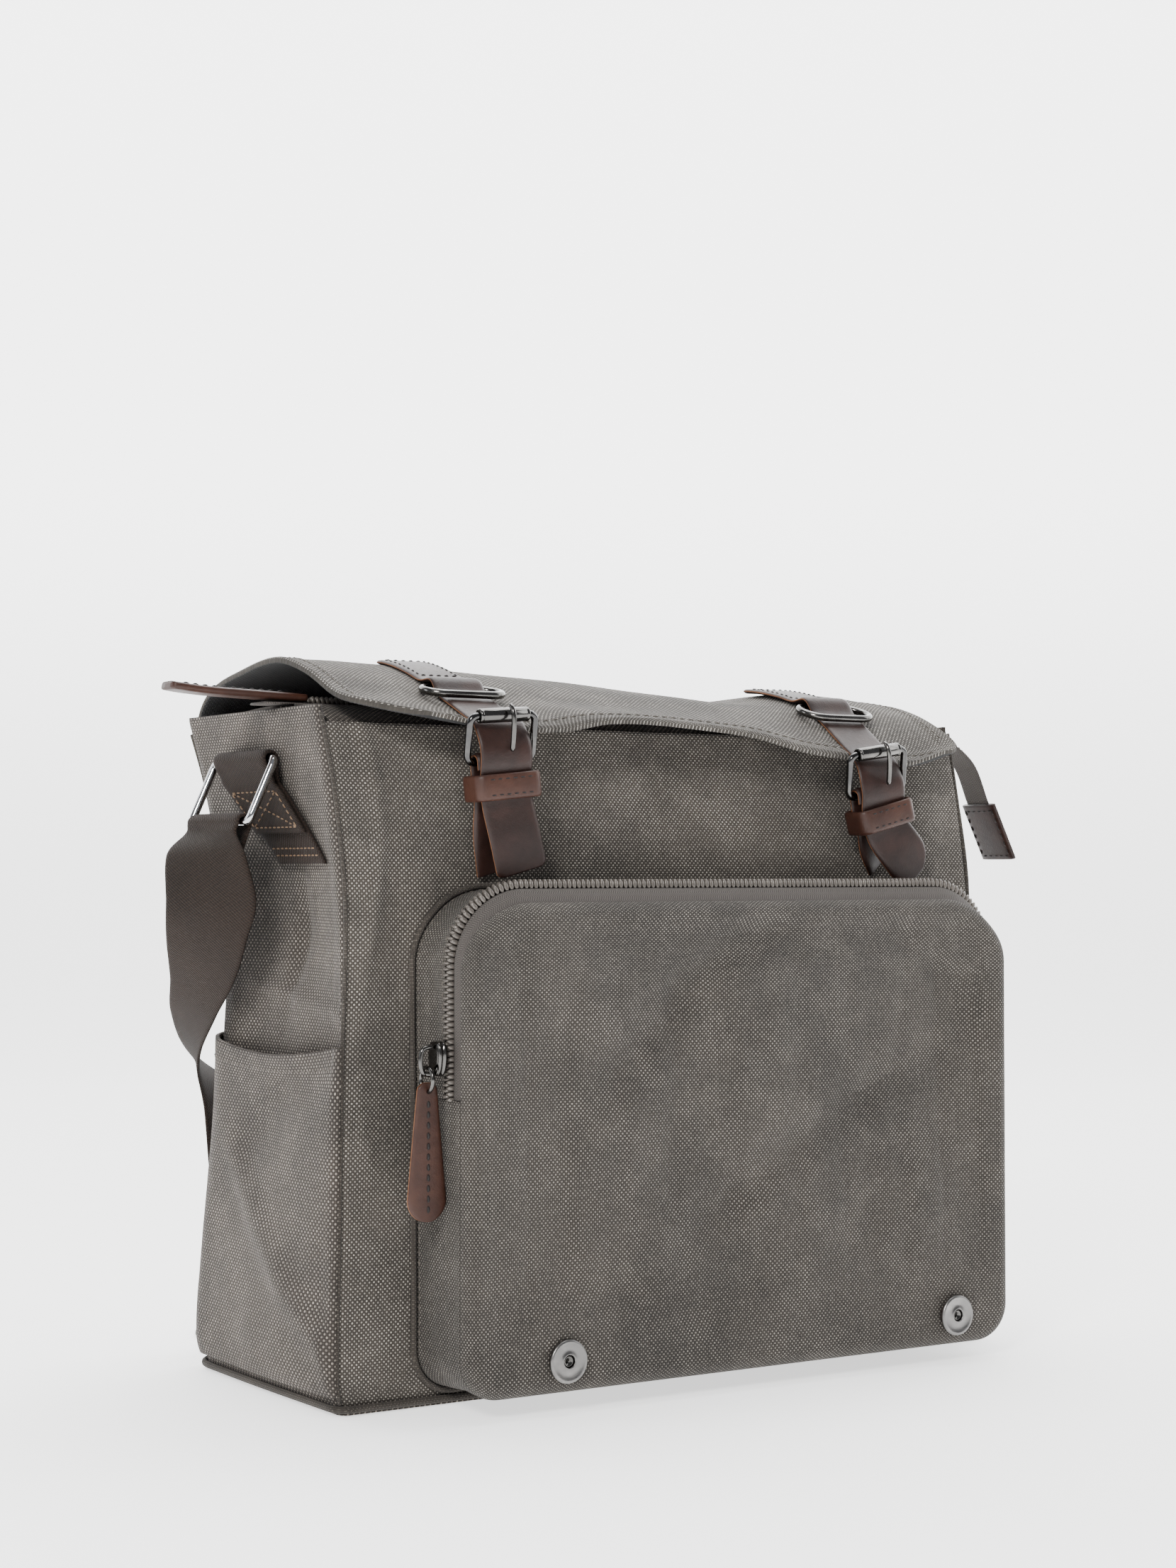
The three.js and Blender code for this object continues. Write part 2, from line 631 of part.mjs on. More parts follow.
function pocketFace() {
  const lines = (count) => steps(count).map((share) => sin((share - 0.5) * PI));
  const point = (b, a, depth) => {
    const inset = depth * bag.wall;
    const shape = {
      ...pocketShape,
      halfWidth: pocketShape.halfWidth - inset,
      halfHeight: pocketShape.halfHeight - inset,
      corner: pocketShape.corner - inset,
    };
    const z = shape.z + b * shape.halfHeight;
    const past = max(abs(z - shape.z) - (shape.halfHeight - shape.corner), 0);
    const half = shape.halfWidth - shape.corner + sqrt(max(shape.corner ** 2 - past ** 2, 0));
    const x = shape.x + a * half;
    return vector(x, pocketFront + inset + pocketFaceY(shape, pocket.edge - inset, x, z), z);
  };
  add('pocket_face', sheet(lines(12), lines(15), point), materials.canvas);
}

function frontPocket() {
  const faceBack = pocketFront + pocket.edge + clear;
  const coilBack = coilY + pocketZip.radius + clear;
  const coilFront = coilY - pocketZip.radius - clear;
  const gap = clear / 2;
  const over = outlineRuns(zipStart + gap, zipEnd - gap);
  const under = outlineRuns(zipEnd + gap, outlineLength + zipStart - gap);
  pocketStrip('pocket_gusset', under, null, faceBack, 0, materials.canvas);
  pocketStrip('pocket_band', over, null, coilBack, 0, materials.canvas);
  pocketStrip('pocket_zip_tape', over, coilFront, faceBack, 1, materials.canvas);
  const coil = over.map((run) => pocketPoint(run, coilY, pocketZip.radius - 1, 0));
  add('pocket_zip_coil', bar(coil, pocketZip.radius, 6, vector(0, 1, 0), false), materials.gunmetal);
  const welt = pocketZip.piping;
  const around = outlineRuns(0, outlineLength).slice(0, -1).map((run) => {
    const p = pocketPoint(run, 0, -welt - clear, 1);
    return p.setY(p.y + clear - welt - clear);
  });
  add('pocket_piping', bar(around, welt, 5, vector(0, 1, 0), true), materials.canvas);
  pocketFace();
}

// The slider on the left run of the pocket's zip, its pull ring and leather puller

function zipPull() {
  const side = pocketShape.x - pocketShape.halfWidth;
  const foot = pocketZip.leftEnd + 10;
  const bodyX = side - 1 - clear - slider.thickness / 2 - pocketZip.radius + 1;
  const body = new THREE.BoxGeometry(slider.thickness, slider.depth, slider.height);
  body.translate(bodyX, coilY, foot + slider.height / 2);
  add('zip_slider', body, materials.gunmetal);
  const faceX = bodyX - slider.thickness / 2 - clear;
  const top = foot + slider.height - 2;
  const arch = [
    vector(faceX - slider.wire * 0.25, coilY, top),
    vector(faceX - slider.arch * 0.8, coilY, top - 1),
    vector(faceX - slider.arch, coilY, top - 3.5),
    vector(faceX - slider.arch, coilY, foot + 4),
    vector(faceX - slider.arch * 0.8, coilY, foot + 1.5),
    vector(faceX - slider.wire * 0.25, coilY, foot + 0.5),
  ];
  add('slider_bridge', bar(arch, slider.wire, 6, vector(0, 1, 0), false), materials.gunmetal);
  const hangX = faceX - slider.arch / 2;
  const ringZ = foot + 1.5 + slider.wire + clear + pullRing.wire - pullRing.radius;
  const loop = steps(14).slice(0, 14).map((share) => {
    const angle = 2 * PI * share;
    return vector(hangX, coilY + pullRing.radius * cos(angle), ringZ + pullRing.radius * sin(angle));
  });
  add('pull_ring', bar(loop, pullRing.wire, 5, vector(1, 0, 0), true), materials.gunmetal);
  const holeZ = ringZ - pullRing.radius;
  const topZ = holeZ + puller.hole + 1.8;
  const [narrow, wide] = [puller.topWidth / 2, puller.endWidth / 2];
  const endZ = topZ - puller.length;
  const outline = new THREE.Shape();
  outline.moveTo(narrow, topZ - 2);
  outline.quadraticCurveTo(narrow, topZ, narrow - 2, topZ);
  outline.lineTo(2 - narrow, topZ);
  outline.quadraticCurveTo(-narrow, topZ, -narrow, topZ - 2);
  outline.lineTo(-wide, endZ + wide);
  outline.absarc(0, endZ + wide, wide, PI, 2 * PI);
  outline.lineTo(narrow, topZ - 2);
  const hole = new THREE.Path();
  hole.absarc(0, holeZ, puller.hole, 0, 2 * PI);
  outline.holes.push(hole);
  const options = { depth: puller.thickness, bevelEnabled: false, curveSegments: 6 };
  const strip = new THREE.ExtrudeGeometry(outline, options);
  strip.rotateX(PI / 2);
  strip.translate(hangX, coilY + puller.thickness / 2, 0);
  add('zip_puller', strip, materials.leather);
}

// Magnetic snaps low on the pocket

function snapPieces(side, x) {
  const z = snap.height;
  const y = pocketFront + pocketFaceY(pocketShape, pocket.edge, x, z) - clear;
  const stack = [
    { node: `snap_backing_${side}`, from: 0, radius: snap.radius - 1, hole: 0, thickness: snap.backing },
    { node: `snap_${side}`, from: snap.backing + clear, radius: snap.radius, hole: snap.hole, thickness: snap.thickness },
    { node: `snap_rivet_${side}`, from: snap.backing + clear, radius: snap.hole - clear, hole: 0, thickness: snap.thickness / 2 },
  ];
  for (const disc of stack) {
    const bevel = min(0.5, disc.thickness / 3);
    const profile = [
      new THREE.Vector2(disc.hole, 0),
      new THREE.Vector2(disc.radius, 0),
      new THREE.Vector2(disc.radius, disc.thickness - bevel),
      new THREE.Vector2(disc.radius - bevel, disc.thickness),
      new THREE.Vector2(disc.hole, disc.thickness),
    ];
    if (disc.hole > 0) profile.push(profile[0].clone());
    const turned = new THREE.LatheGeometry(profile, disc.radius > 5 ? 16 : 8);
    turned.rotateX(PI);
    turned.translate(x, y - disc.from, z);
    add(disc.node, turned, disc.node.includes('backing') ? materials.gunmetal : materials.nickel);
  }
}

// The buckled straps

const out = vector(0, -1, 0);

// A strap's own frame: the heel bar of its buckle beside the flap's hem
function strapFrame(strap) {
  const x = (strap.x * bag.width) / 2;
  const hem = overFlap(x, 1, clear);
  const heel = vector(x + strap.heel, hem.y - buckle.proud, hem.z - buckle.below);
  const turn = radians(strap.turn);
  const wide = vector(cos(turn), 0, sin(turn));
  const up = vector(-sin(turn), 0, cos(turn));
  return { ...strap, x, hem, heel, wide, up };
}

// A point below the heel bar, along the strap as it turns, at a height out from it
function belowHeel(strap, down, height) {
  const count = 24;
  const p = strap.heel.clone().addScaledVector(out, height);
  for (let k = 0; k < count; k += 1) {
    const here = (down * (k + 0.5)) / count;
    const turn = radians(mix(strap.turn, strap.tailTurn, ease(6, 26, here)));
    p.x += (sin(turn) * down) / count;
    p.z -= (cos(turn) * down) / count;
  }
  return p;
}

const besideHeel = (strap, rise, height) =>
  strap.heel.clone().addScaledVector(strap.up, rise).addScaledVector(out, height);

// Stations of a flat strap through centre points, its width kept near one direction
function flatStrap(centres, wide, roundEnd) {
  const last = centres.length - 1;
  const length = centres.slice(1).reduce((sum, p, k) => sum + p.distanceTo(centres[k]), 0);
  let run = 0;
  return centres.map((p, k) => {
    const along = vector().subVectors(centres[min(k + 1, last)], centres[max(k - 1, 0)]).normalize();
    const level = vector().crossVectors(out, along);
    const steep = level.length() < 0.35;
    const side = steep ? wide.clone().addScaledVector(along, -wide.dot(along)) : level;
    side.multiplyScalar(Math.sign(side.dot(wide)) / side.length());
    if (k > 0) run += p.distanceTo(centres[k - 1]);
    const toEnd = min(max(length - run, roundEnd * 0.08), roundEnd);
    const half = leather.width / 2 - roundEnd + sqrt(roundEnd ** 2 - (roundEnd - toEnd) ** 2);
    return { p, side, up: vector().crossVectors(along, side), half };
  });
}

function strapRows(stations, thickness, columns) {
  return stations.map((s) =>
    columns.map((c) => [0.5, -0.5].map((depth) =>
      s.p.clone().addScaledVector(s.side, c * s.half).addScaledVector(s.up, depth * thickness),
    )),
  );
}

const strapColumns = [-1, 0, 1];
const asSlab = (rows) => slab(rows.map((row) => row.map((pair) => pair[0])), rows.map((row) => row.map((pair) => pair[1])));

// Where the ring lies on the flap, as shares of the flap's run
const ringRear = 0.805;
const ringFront = ringRear + flapRing.depth / flap.length;
const strapGap = 2 * clear;

function flapStrapRows(strap) {
  const rise = 2 * flapRing.wire + 2 * clear;
  const vs = [...flapRows.filter((v) => v > 0.57), ringRear - 0.02, ringRear, ringRear + 0.02, ringRear + 0.04];
  vs.sort((a, b) => a - b);
  return vs.map((v) =>
    strapColumns.map((c) => {
      const x = strap.x + (c * leather.width) / 2;
      const bump = rise * exp(-((((v - ringRear) * flap.length) / 5.5) ** 2));
      const low = strapGap + bump;
      return [overFlap(x, v, low + leather.thickness), overFlap(x, v, low)];
    }),
  );
}

// Layers at the heel bar: the body strap wraps the bar and the flap's strap lies over it
const wrapAt = buckle.wire + clear + leather.thickness / 2;
const overHeel = wrapAt + leather.thickness + 3 * clear;

function flapStrap(strap) {
  const rows = flapStrapRows(strap);
  const hemCentre = rows.at(-1)[1][0].clone().add(rows.at(-1)[1][1]).multiplyScalar(0.5);
  const floor = pocket.lift + pocket.height + strap.tailEnd;
  const tailLength = lengthDownTo(strap, floor, strap.round);
  const guide = [
    hemCentre,
    hemCentre.clone().add(vector(0, -2.8, -3)),
    besideHeel(strap, 7, overHeel - 0.3),
    besideHeel(strap, 0, overHeel),
    belowHeel(strap, 6, overHeel - 1.4),
    belowHeel(strap, 16, overHeel - 2.3),
    belowHeel(strap, mix(16, tailLength, 0.5), overHeel - 2),
    belowHeel(strap, tailLength, overHeel - 2.6),
  ];
  const centres = smoothLine(guide, 3).slice(1);
  const ends = [0.5, 0.8].map((share) => mixPoint(centres.at(-2), centres.at(-1), share));
  centres.splice(centres.length - 1, 0, ...ends);
  const free = flatStrap(centres, strap.wide, strap.round);
  add(`flap_strap_${strap.side}`, asSlab([...rows, ...strapRows(free, leather.thickness, strapColumns)]), materials.leather);
}

const mixPoint = (a, b, t) => a.clone().lerp(b, t);

// The length below the heel at which the lower corner of a strap's end reaches a height
function lengthDownTo(strap, z, round) {
  const corner = (leather.width / 2 - round) * sin(radians(strap.tailTurn));
  let length = 0;
  while (belowHeel(strap, length, 0).z - corner > z) length += 0.5;
  return length;
}

// The height out from the heel bar at which a body strap clears the front panel
function onPanel(strap, down) {
  const p = belowHeel(strap, down, 0);
  const reach = (leather.width / 2) * cos(radians(strap.tailTurn));
  const drop = (leather.width / 2) * sin(radians(strap.tailTurn));
  const under = [-1, 0, 1].flatMap((side) => [0, 12].map((up) => frontAt(p.x + side * reach, p.z + side * drop + up)));
  const nearest = min(...under);
  return strap.heel.y - nearest + 3 * clear + leather.thickness / 2;
}

function bodyStrap(strap) {
  const end = lengthDownTo(strap, pocket.lift + pocket.height + strap.tailEnd, 0);
  const wrap = steps(6).map((share) => besideHeel(strap, wrapAt * sin(PI * share), wrapAt * cos(PI * share)));
  const middle = mix(16, end, 0.5);
  const guide = [
    belowHeel(strap, 3.5, wrapAt),
    ...wrap,
    belowHeel(strap, 6, 0.3 - wrapAt),
    belowHeel(strap, 16, 0.8 - wrapAt),
    belowHeel(strap, middle, mix(-wrapAt, onPanel(strap, middle), 0.25)),
    belowHeel(strap, end, onPanel(strap, end)),
  ];
  const centres = [...guide.slice(0, 9), ...smoothLine(guide.slice(8), 2).slice(1)];
  const stations = flatStrap(centres, strap.wide, 0);
  const rows = strapRows(stations, leather.thickness, [-1, 1]);
  add(`body_strap_${strap.side}`, asSlab(rows), materials.leather);
}

function buckleFrame(strap) {
  const lean = strap.up.clone().addScaledVector(out, buckle.lean).normalize();
  const centre = strap.heel.clone().addScaledVector(lean, buckle.length / 2);
  const halfWide = leather.width / 2 + buckle.wire + buckle.spare;
  const loop = roundedLoop(centre, strap.wide, lean, halfWide, buckle.length / 2, 3.5, 2);
  const face = vector().crossVectors(strap.wide, lean);
  add(`buckle_frame_${strap.side}`, bar(loop, buckle.wire, 6, face, true), materials.gunmetal);
  const top = centre.clone().addScaledVector(lean, buckle.length / 2);
  const halfRoller = halfWide - 4;
  const bore = buckle.wire + clear;
  const profile = [[bore, -1], [buckle.roller, -1], [buckle.roller, 1], [bore, 1], [bore, -1]];
  const roller = new THREE.LatheGeometry(profile.map(([r, s]) => new THREE.Vector2(r, s * halfRoller)), 12);
  roller.applyMatrix4(new THREE.Matrix4().makeBasis(face, strap.wide, face.clone().cross(strap.wide)));
  roller.translate(top.x, top.y, top.z);
  add(`buckle_roller_${strap.side}`, roller, materials.gunmetal);
  const wire = 1.1;
  const start = overHeel + leather.thickness / 2 + clear + wire;
  const aside = strap.wide.clone().multiplyScalar(1.5);
  const prong = [[4, start], [10, start + 1.6], [16, start + 2.7], [20.5, start + 2.6], [23.8, start + 0.4]];
  const path = smoothLine(prong.map(([rise, height]) => besideHeel(strap, rise, height).add(aside)), 2);
  add(`buckle_prong_${strap.side}`, bar(path, wire, 6, strap.wide, false), materials.gunmetal);
}

function keeperLoop(strap) {
  const centre = (overHeel - wrapAt - 1.1) / 2;
  const [from, to] = [belowHeel(strap, keeper.below, centre), belowHeel(strap, keeper.below + keeper.length, centre)];
  const down = vector().subVectors(to, from).normalize();
  const wide = vector().crossVectors(down, out);
  wide.multiplyScalar(Math.sign(wide.x));
  const rowsAt = (grow) => [from, to].map((p) =>
    roundedLoop(p, wide, out, leather.width / 2 + 1.8 + grow, keeper.depth / 2 + grow, 3 + grow, 3),
  );
  add(`keeper_${strap.side}`, slab(rowsAt(keeper.thickness), rowsAt(0), true), materials.leather);
}

function flapRingLoop(strap) {
  const rear = overFlap(strap.x, ringRear, clear + flapRing.wire);
  const above = strapGap + leather.thickness + 2 * clear + flapRing.wire;
  const front = overFlap(strap.x, ringFront, above);
  const fore = vector().subVectors(front, rear);
  const halfDepth = fore.length() / 2;
  fore.normalize();
  const wide = vector(1, 0, 0);
  const centre = mixPoint(rear, front, 0.5);
  const halfWide = flapRing.width / 2;
  const loop = roundedLoop(centre, wide, fore, halfWide, halfDepth, halfDepth - 0.2, 3);
  const face = vector().crossVectors(wide, fore);
  add(`flap_ring_${strap.side}`, bar(loop, flapRing.wire, 6, face, true), materials.gunmetal);
}

// The webbing anchors, the side rings and the shoulder strap

// The straight line across a gusset on which the anchor's loop and the ring's bar lie
function loopLine(side, y) {
  const [front, back] = [-1, 1].map((end) => gussetAt(side, anchor.highY + (end * webbing.width) / 2, anchor.top, 0));
  return mix(front.x, back.x, (y - front.y) / (back.y - front.y));
}

function sideAnchor(side) {
  const mirror = side === 'left' ? -1 : 1;
  const half = webbing.thickness / 2;
  const first = 2 * clear + half;
  const wrap = sideRing.wire + clear + half;
  const barOut = first + wrap;
  const second = first + webbing.thickness + clear;
  const profile = [
    ...steps(5).map((share) => ({ o: first, z: mix(anchor.bottom, anchor.top, share) })),
    ...steps(6).slice(1).map((share) => ({ o: barOut - wrap * cos(PI * share), z: anchor.top + wrap * sin(PI * share) })),
    { o: mix(barOut + wrap, second, 0.35), z: anchor.top - 3.5 },
    { o: mix(barOut + wrap, second, 0.85), z: anchor.top - 7 },
    { o: second, z: anchor.top - 10 },
    { o: second, z: anchor.top - 20 },
    { o: second, z: anchor.top - anchor.returned },
  ];
  const last = profile.length - 1;
  const point = (k, column, depth) => {
    const here = profile[k];
    const [before, after] = [profile[max(k - 1, 0)], profile[min(k + 1, last)]];
    const length = Math.hypot(after.o - before.o, after.z - before.z);
    const [no, nz] = [-(after.z - before.z) / length, (after.o - before.o) / length];
    const shift = (0.5 - depth) * webbing.thickness;
    const z = here.z + nz * shift;
    const share = (here.z - anchor.bottom) / (anchor.top - anchor.straight - anchor.bottom);
    const y = mix(anchor.lowY, anchor.highY, min(share, 1)) + (column * webbing.width) / 2;
    const base = gussetAt(side, y, z, 0);
    const straight = mix(base.x, loopLine(side, y), ease(anchor.top - 16, anchor.top - 2, here.z));
    return base.setX(straight + mirror * (here.o + no * shift));
  };
  const rows = profile.map((_, k) => k);
  add(`ring_anchor_${side}`, sheet(rows, [-1, -0.33, 0.33, 1], point), materials.webbing);
  return vector(loopLine(side, anchor.highY) + mirror * barOut, anchor.highY, anchor.top);
}

function sideRingLoop(side, top) {
  const mirror = side === 'left' ? -1 : 1;
  const wide = vector(loopLine(side, 1) - loopLine(side, 0), 1, 0).normalize();
  const down = vector(mirror * sideRing.lean, 0, -1).normalize();
  down.addScaledVector(wide, -down.dot(wide)).normalize();
  const centre = top.clone().addScaledVector(down, sideRing.height / 2);
  const halfWide = webbing.width / 2 + sideRing.wire + sideRing.spare;
  const loop = roundedLoop(centre, wide, down, halfWide, sideRing.height / 2, sideRing.corner, 2);
  const face = vector().crossVectors(wide, down);
  add(`side_ring_${side}`, bar(loop, sideRing.wire, 6, face, true), materials.nickel);
  return { at: top.clone().addScaledVector(down, sideRing.height), wide };
}

// Stations over the lower bar of the left ring, from its inner side to its outer side
function wrapStations(ring) {
  const reach = sideRing.wire + clear + webbing.thickness / 2;
  const turn = (Math.atan2(ring.wide.x, ring.wide.y) * 180) / PI;
  const inward = vector(cos(radians(turn)), -sin(radians(turn)), 0);
  return steps(6).map((share) => {
    const angle = PI * (0.5 - share) * 1.1;
    const p = ring.at.clone().addScaledVector(inward, reach * sin(angle));
    return { p: p.setZ(p.z + reach * cos(angle)), turn };
  });
}

// Stations down from the ring, round the rear corner and onto the floor behind
function dropStations(floor, half) {
  const drop = STRAP_DROP.map((row) => ({
    p: vector((row.x * bag.width) / 2, (row.y * bag.depth) / 2, row.z * bag.height),
    turn: row.turn,
  }));
  const start = drop.at(-1).p.y + strapFloor.lead;
  const bend = steps(4).map((share) => {
    const angle = mix(0.15, 0.5, share) * PI;
    const y = start + strapFloor.bend * (1 - cos(angle));
    return { p: vector(-half, y, floor + strapFloor.bend * (1 - sin(angle))), turn: 90 };
  });
  const flat = { p: vector(-half, mix(start + strapFloor.bend, strapFloor.straight, 0.5), floor), turn: 90 };
  return [...drop, ...bend, flat];
}

function shoulderStrap(ring) {
  const floor = webbing.thickness / 2 + clear;
  const half = (strapFloor.radius * bag.width) / 2;
  const mirrored = (station) => ({ p: station.p.clone().setX(-station.p.x), turn: 360 - station.turn });
  const wrap = wrapStations(ring);
  const aside = (strapFold.shift * bag.depth) / 2;
  const inner = (across, back, down) => ({
    p: wrap[0].p.clone().add(vector(across, back * aside, -down * strapFold.length)),
    turn: wrap[0].turn,
  });
  const fold = [
    inner(0, 1, 1),
    inner(-strapFold.bulge, 1, 0.75),
    inner(0, 0.9, 0.48),
    inner(-strapFold.bulge * 0.4, 0.15, 0.2),
  ];
  const drop = dropStations(floor, half);
  const arc = steps(8).map((share) => ({
    p: vector(
      strapFloor.aside * sin(PI * share) - half * cos(PI * share),
      strapFloor.straight + half * sin(PI * share),
      floor,
    ),
    turn: 90 + 180 * share,
  }));
  const below = { p: wrap.at(-1).p.clone().add(vector(-1, 0, -4)), turn: wrap[0].turn };
  wrap.push(below);
  const sewn = [inner(1.5, 0, 0.7), inner(0.5, 0, 0.3)];
  const right = [...sewn, ...wrap, ...drop].reverse().map(mirrored);
  const stations = [...fold, ...wrap, ...drop, ...arc, ...right];
  const curve = new THREE.CatmullRomCurve3(stations.map((s) => s.p), false, 'centripetal');
  const turnTable = stations.map((s, k) => ({ at: k, turn: s.turn }));
  const count = Math.round((stations.length - 1) * 1.3);
  const centres = steps(count).map((t) => curve.getPoint(t));
  const rows = steps(count).map((t, k) => {
    const along = vector().subVectors(centres[min(k + 1, count)], centres[max(k - 1, 0)]).normalize();
    const turn = radians(read(turnTable, 'turn', t * (stations.length - 1)));
    const side = vector(sin(turn), cos(turn), 0);
    const face = vector().crossVectors(along, side).normalize();
    return [-1, 1].map((c) => [0.5, -0.5].map((depth) =>
      centres[k].clone()
        .addScaledVector(side, (c * webbing.width) / 2)
        .addScaledVector(face, depth * webbing.thickness),
    ));
  });
  add('shoulder_strap', asSlab(rows), materials.webbing);
}

// The assembly

basePanel();
basePiping();
bodyWall('front_panel', 'front', 13, 10, bag.height - 6);
bodyWall('back_panel', 'back', 9, 8, bag.height - 4);
bodyWall('gusset_left', 'left', gussetColumns, gussetRows, gussetTop);
bodyWall('gusset_right', 'right', gussetColumns, gussetRows, gussetTop);
gussetPocket('side_pocket_left', 'left');
gussetPocket('side_pocket_right', 'right');
flapSheet();
closure();
mainZipPieces();
frontPocket();
zipPull();
snapPieces('left', snap.left);
snapPieces('right', snap.right);
for (const strap of STRAPS.map(strapFrame)) {
  flapStrap(strap);
  bodyStrap(strap);
  buckleFrame(strap);
  keeperLoop(strap);
  flapRingLoop(strap);
}
const [leftRing] = ['left', 'right'].map((side) => sideRingLoop(side, sideAnchor(side)));
shoulderStrap(leftRing);

export default group;
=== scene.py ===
"""Canvas shoulder bag: washed canvas, waxed leather straps, gunmetal fittings and twill webbing."""
import math

import bpy
import numpy as np
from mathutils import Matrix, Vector


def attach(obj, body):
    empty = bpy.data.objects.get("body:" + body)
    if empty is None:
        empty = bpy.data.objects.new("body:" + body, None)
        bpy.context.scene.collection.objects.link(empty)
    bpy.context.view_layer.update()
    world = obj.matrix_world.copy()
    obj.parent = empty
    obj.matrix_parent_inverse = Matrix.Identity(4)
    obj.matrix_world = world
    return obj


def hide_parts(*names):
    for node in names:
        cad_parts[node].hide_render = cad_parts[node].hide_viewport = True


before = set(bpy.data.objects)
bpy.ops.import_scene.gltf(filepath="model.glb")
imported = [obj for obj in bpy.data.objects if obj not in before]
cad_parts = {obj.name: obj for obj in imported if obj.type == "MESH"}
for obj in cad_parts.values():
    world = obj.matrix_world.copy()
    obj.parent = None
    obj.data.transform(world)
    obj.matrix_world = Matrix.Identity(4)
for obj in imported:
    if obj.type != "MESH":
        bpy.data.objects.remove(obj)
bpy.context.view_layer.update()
MM = 0.001

# Sizes in millimetres, as in the frame
BAG = dict(width=342.0, depth=140.0, height=290.0, wall=1.8, base=2.4, front_corner=5.0)
SIDE_POCKET = dict(lift=8.0, height=142.0, slack=7.0, sag=6.0, seat=0.7)
FLAP = dict(width=322.0, shift=-1.0, rise=23.5, thickness=2.4, length=205.0, left=30.0, right=14.0)
POCKET = dict(width=288.0, height=209.0, depth=45.0, corner=34.0, low_corner=17.0, lift=8.0, shift=8.0,
              edge=7.0, sag=3.0)
POCKET_X, POCKET_Z = POCKET["shift"], POCKET["lift"] + POCKET["height"] / 2
POCKET_FRONT = -BAG["depth"] / 2 - POCKET["depth"]
COIL_Y = POCKET_FRONT + 17.0
COIL_RADIUS = 2.6
ZIP_LEFT_END, ZIP_RIGHT_END = 129.0, 150.0  # heights of the pocket zip's two ends
ZIP_Y, ZIP_WIDTH, ZIP_LEVEL = -6.0, 16.0, BAG["height"] + 3.6
LEATHER_WIDE, LEATHER_THICK = 25.0, 2.2
WEB_WIDE, WEB_THICK = 50.0, 2.0
BUCKLE_BAR, FLAP_RING_BAR, SIDE_RING_BAR = 1.6, 1.7, 1.8  # radii
# heights of the webbing anchor's foot, of the end of its folded layer and of its ring's bar
ANCHOR_FOOT, ANCHOR_END, ANCHOR_TOP = 225.0, 238.0, 270.0
ANCHOR_FOOT_Y, ANCHOR_TOP_Y = -28, 14
SNAP_HEIGHT = 22.0
HEM_STITCH = 6.2  # from the flap's edge to its stitched line
GAP = 0.3

# height share, half width, front, back, rear corner, gusset dent
SECTIONS = np.array([
    (0, 0.99, 0.985, 0.985, 0.13, 0), (0.05, 1.01, 1.015, 1.01, 0.14, -0.01), (0.25, 1.005, 1.015, 0.97, 0.17, 0),
    (0.5, 0.995, 1, 0.89, 0.2, 0.025), (0.72, 0.985, 0.985, 0.91, 0.18, 0.045),
    (0.88, 0.99, 0.87, 1.07, 0.12, 0.02), (1, 1, 0.73, 1.22, 0.07, 0)])
# place across and up, reach across and up, depth as a share of the bag's depth
FRONT_DENTS = [(0.06, 0.72, 0.03, 0.16, 0.03), (0.11, 0.78, 0.03, 0.12, -0.012), (0.5, 0.9, 0.2, 0.08, 0.02),
               (0.82, 0.86, 0.08, 0.1, 0.008)]
BACK_DENTS = [(0.3, 0.55, 0.22, 0.25, -0.03), (0.75, 0.3, 0.2, 0.2, -0.02)]
GUSSET_DENTS = [(0.62, 0.66, 0.18, 0.07, 0.02), (0.4, 0.5, 0.2, 0.12, 0.012), (0.5, 0.16, 0.3, 0.12, -0.015)]
POCKET_DENTS = [(0.14, 0.45, 0.05, 0.4, 0.014), (0.4, 0.62, 0.07, 0.3, 0.018), (0.55, 0.5, 0.08, 0.35, -0.012),
                (0.72, 0.45, 0.05, 0.25, 0.014), (0.9, 0.5, 0.07, 0.35, 0.016)]
# run share, depth share, rise share, over the back
FLAP_PROFILE = np.array([
    (0, 1.125, -1.19, 1), (0.12, 1.235, -0.17, 1), (0.24, 1.1, 0.52, 0), (0.4, 0.64, 0.86, 0), (0.58, 0.11, 1, 0),
    (0.71, -0.29, 0.74, 0), (0.85, -0.71, 0.2, 0), (1, -1.1, -0.38, 0)])
# place across, lift of the ridge, lift of the hem
FLAP_WAVES = np.array([
    (0, 0.03, 0.3), (0.14, 0, 0.09), (0.25, -0.04, 0.09), (0.34, -0.1, 0.26), (0.47, -0.18, 0.26),
    (0.62, -0.36, 0.1),
    (0.72, -0.48, -0.16), (0.82, -0.26, -0.3), (0.92, -0.26, -0.38), (1, -0.4, -0.1)])


# ---- Numbers ----------------------------------------------------------------------------------------------

def mix(a, b, t):
    return a + (b - a) * t


def ease(low, high, value):
    """Smooth step: 3t^2 - 2t^3 of the clipped share t."""
    t = np.clip((np.asarray(value, float) - low) / (high - low), 0, 1)
    return t * t * (3 - 2 * t)


def read(table, column, at):
    """A column of a table as a cubic through its rows, with slopes from the neighbouring rows."""
    at = np.asarray(at, float)
    last = len(table) - 1
    i = np.clip(np.searchsorted(table[:, 0], at, side="left") - 1, 0, last - 1)
    before, after = np.maximum(i - 1, 0), np.minimum(i + 2, last)
    x, y = table[:, 0], table[:, column]
    span = x[i + 1] - x[i]
    t = np.clip((at - x[i]) / span, 0, 1)
    here = (y[i + 1] - y[before]) / (x[i + 1] - x[before]) * span
    there = (y[after] - y[i]) / (x[after] - x[i]) * span
    return (y[i] * (2 * t**3 - 3 * t**2 + 1) + here * (t**3 - 2 * t**2 + t) + y[i + 1] * (3 * t**2 - 2 * t**3)
            + there * (t**3 - t**2))


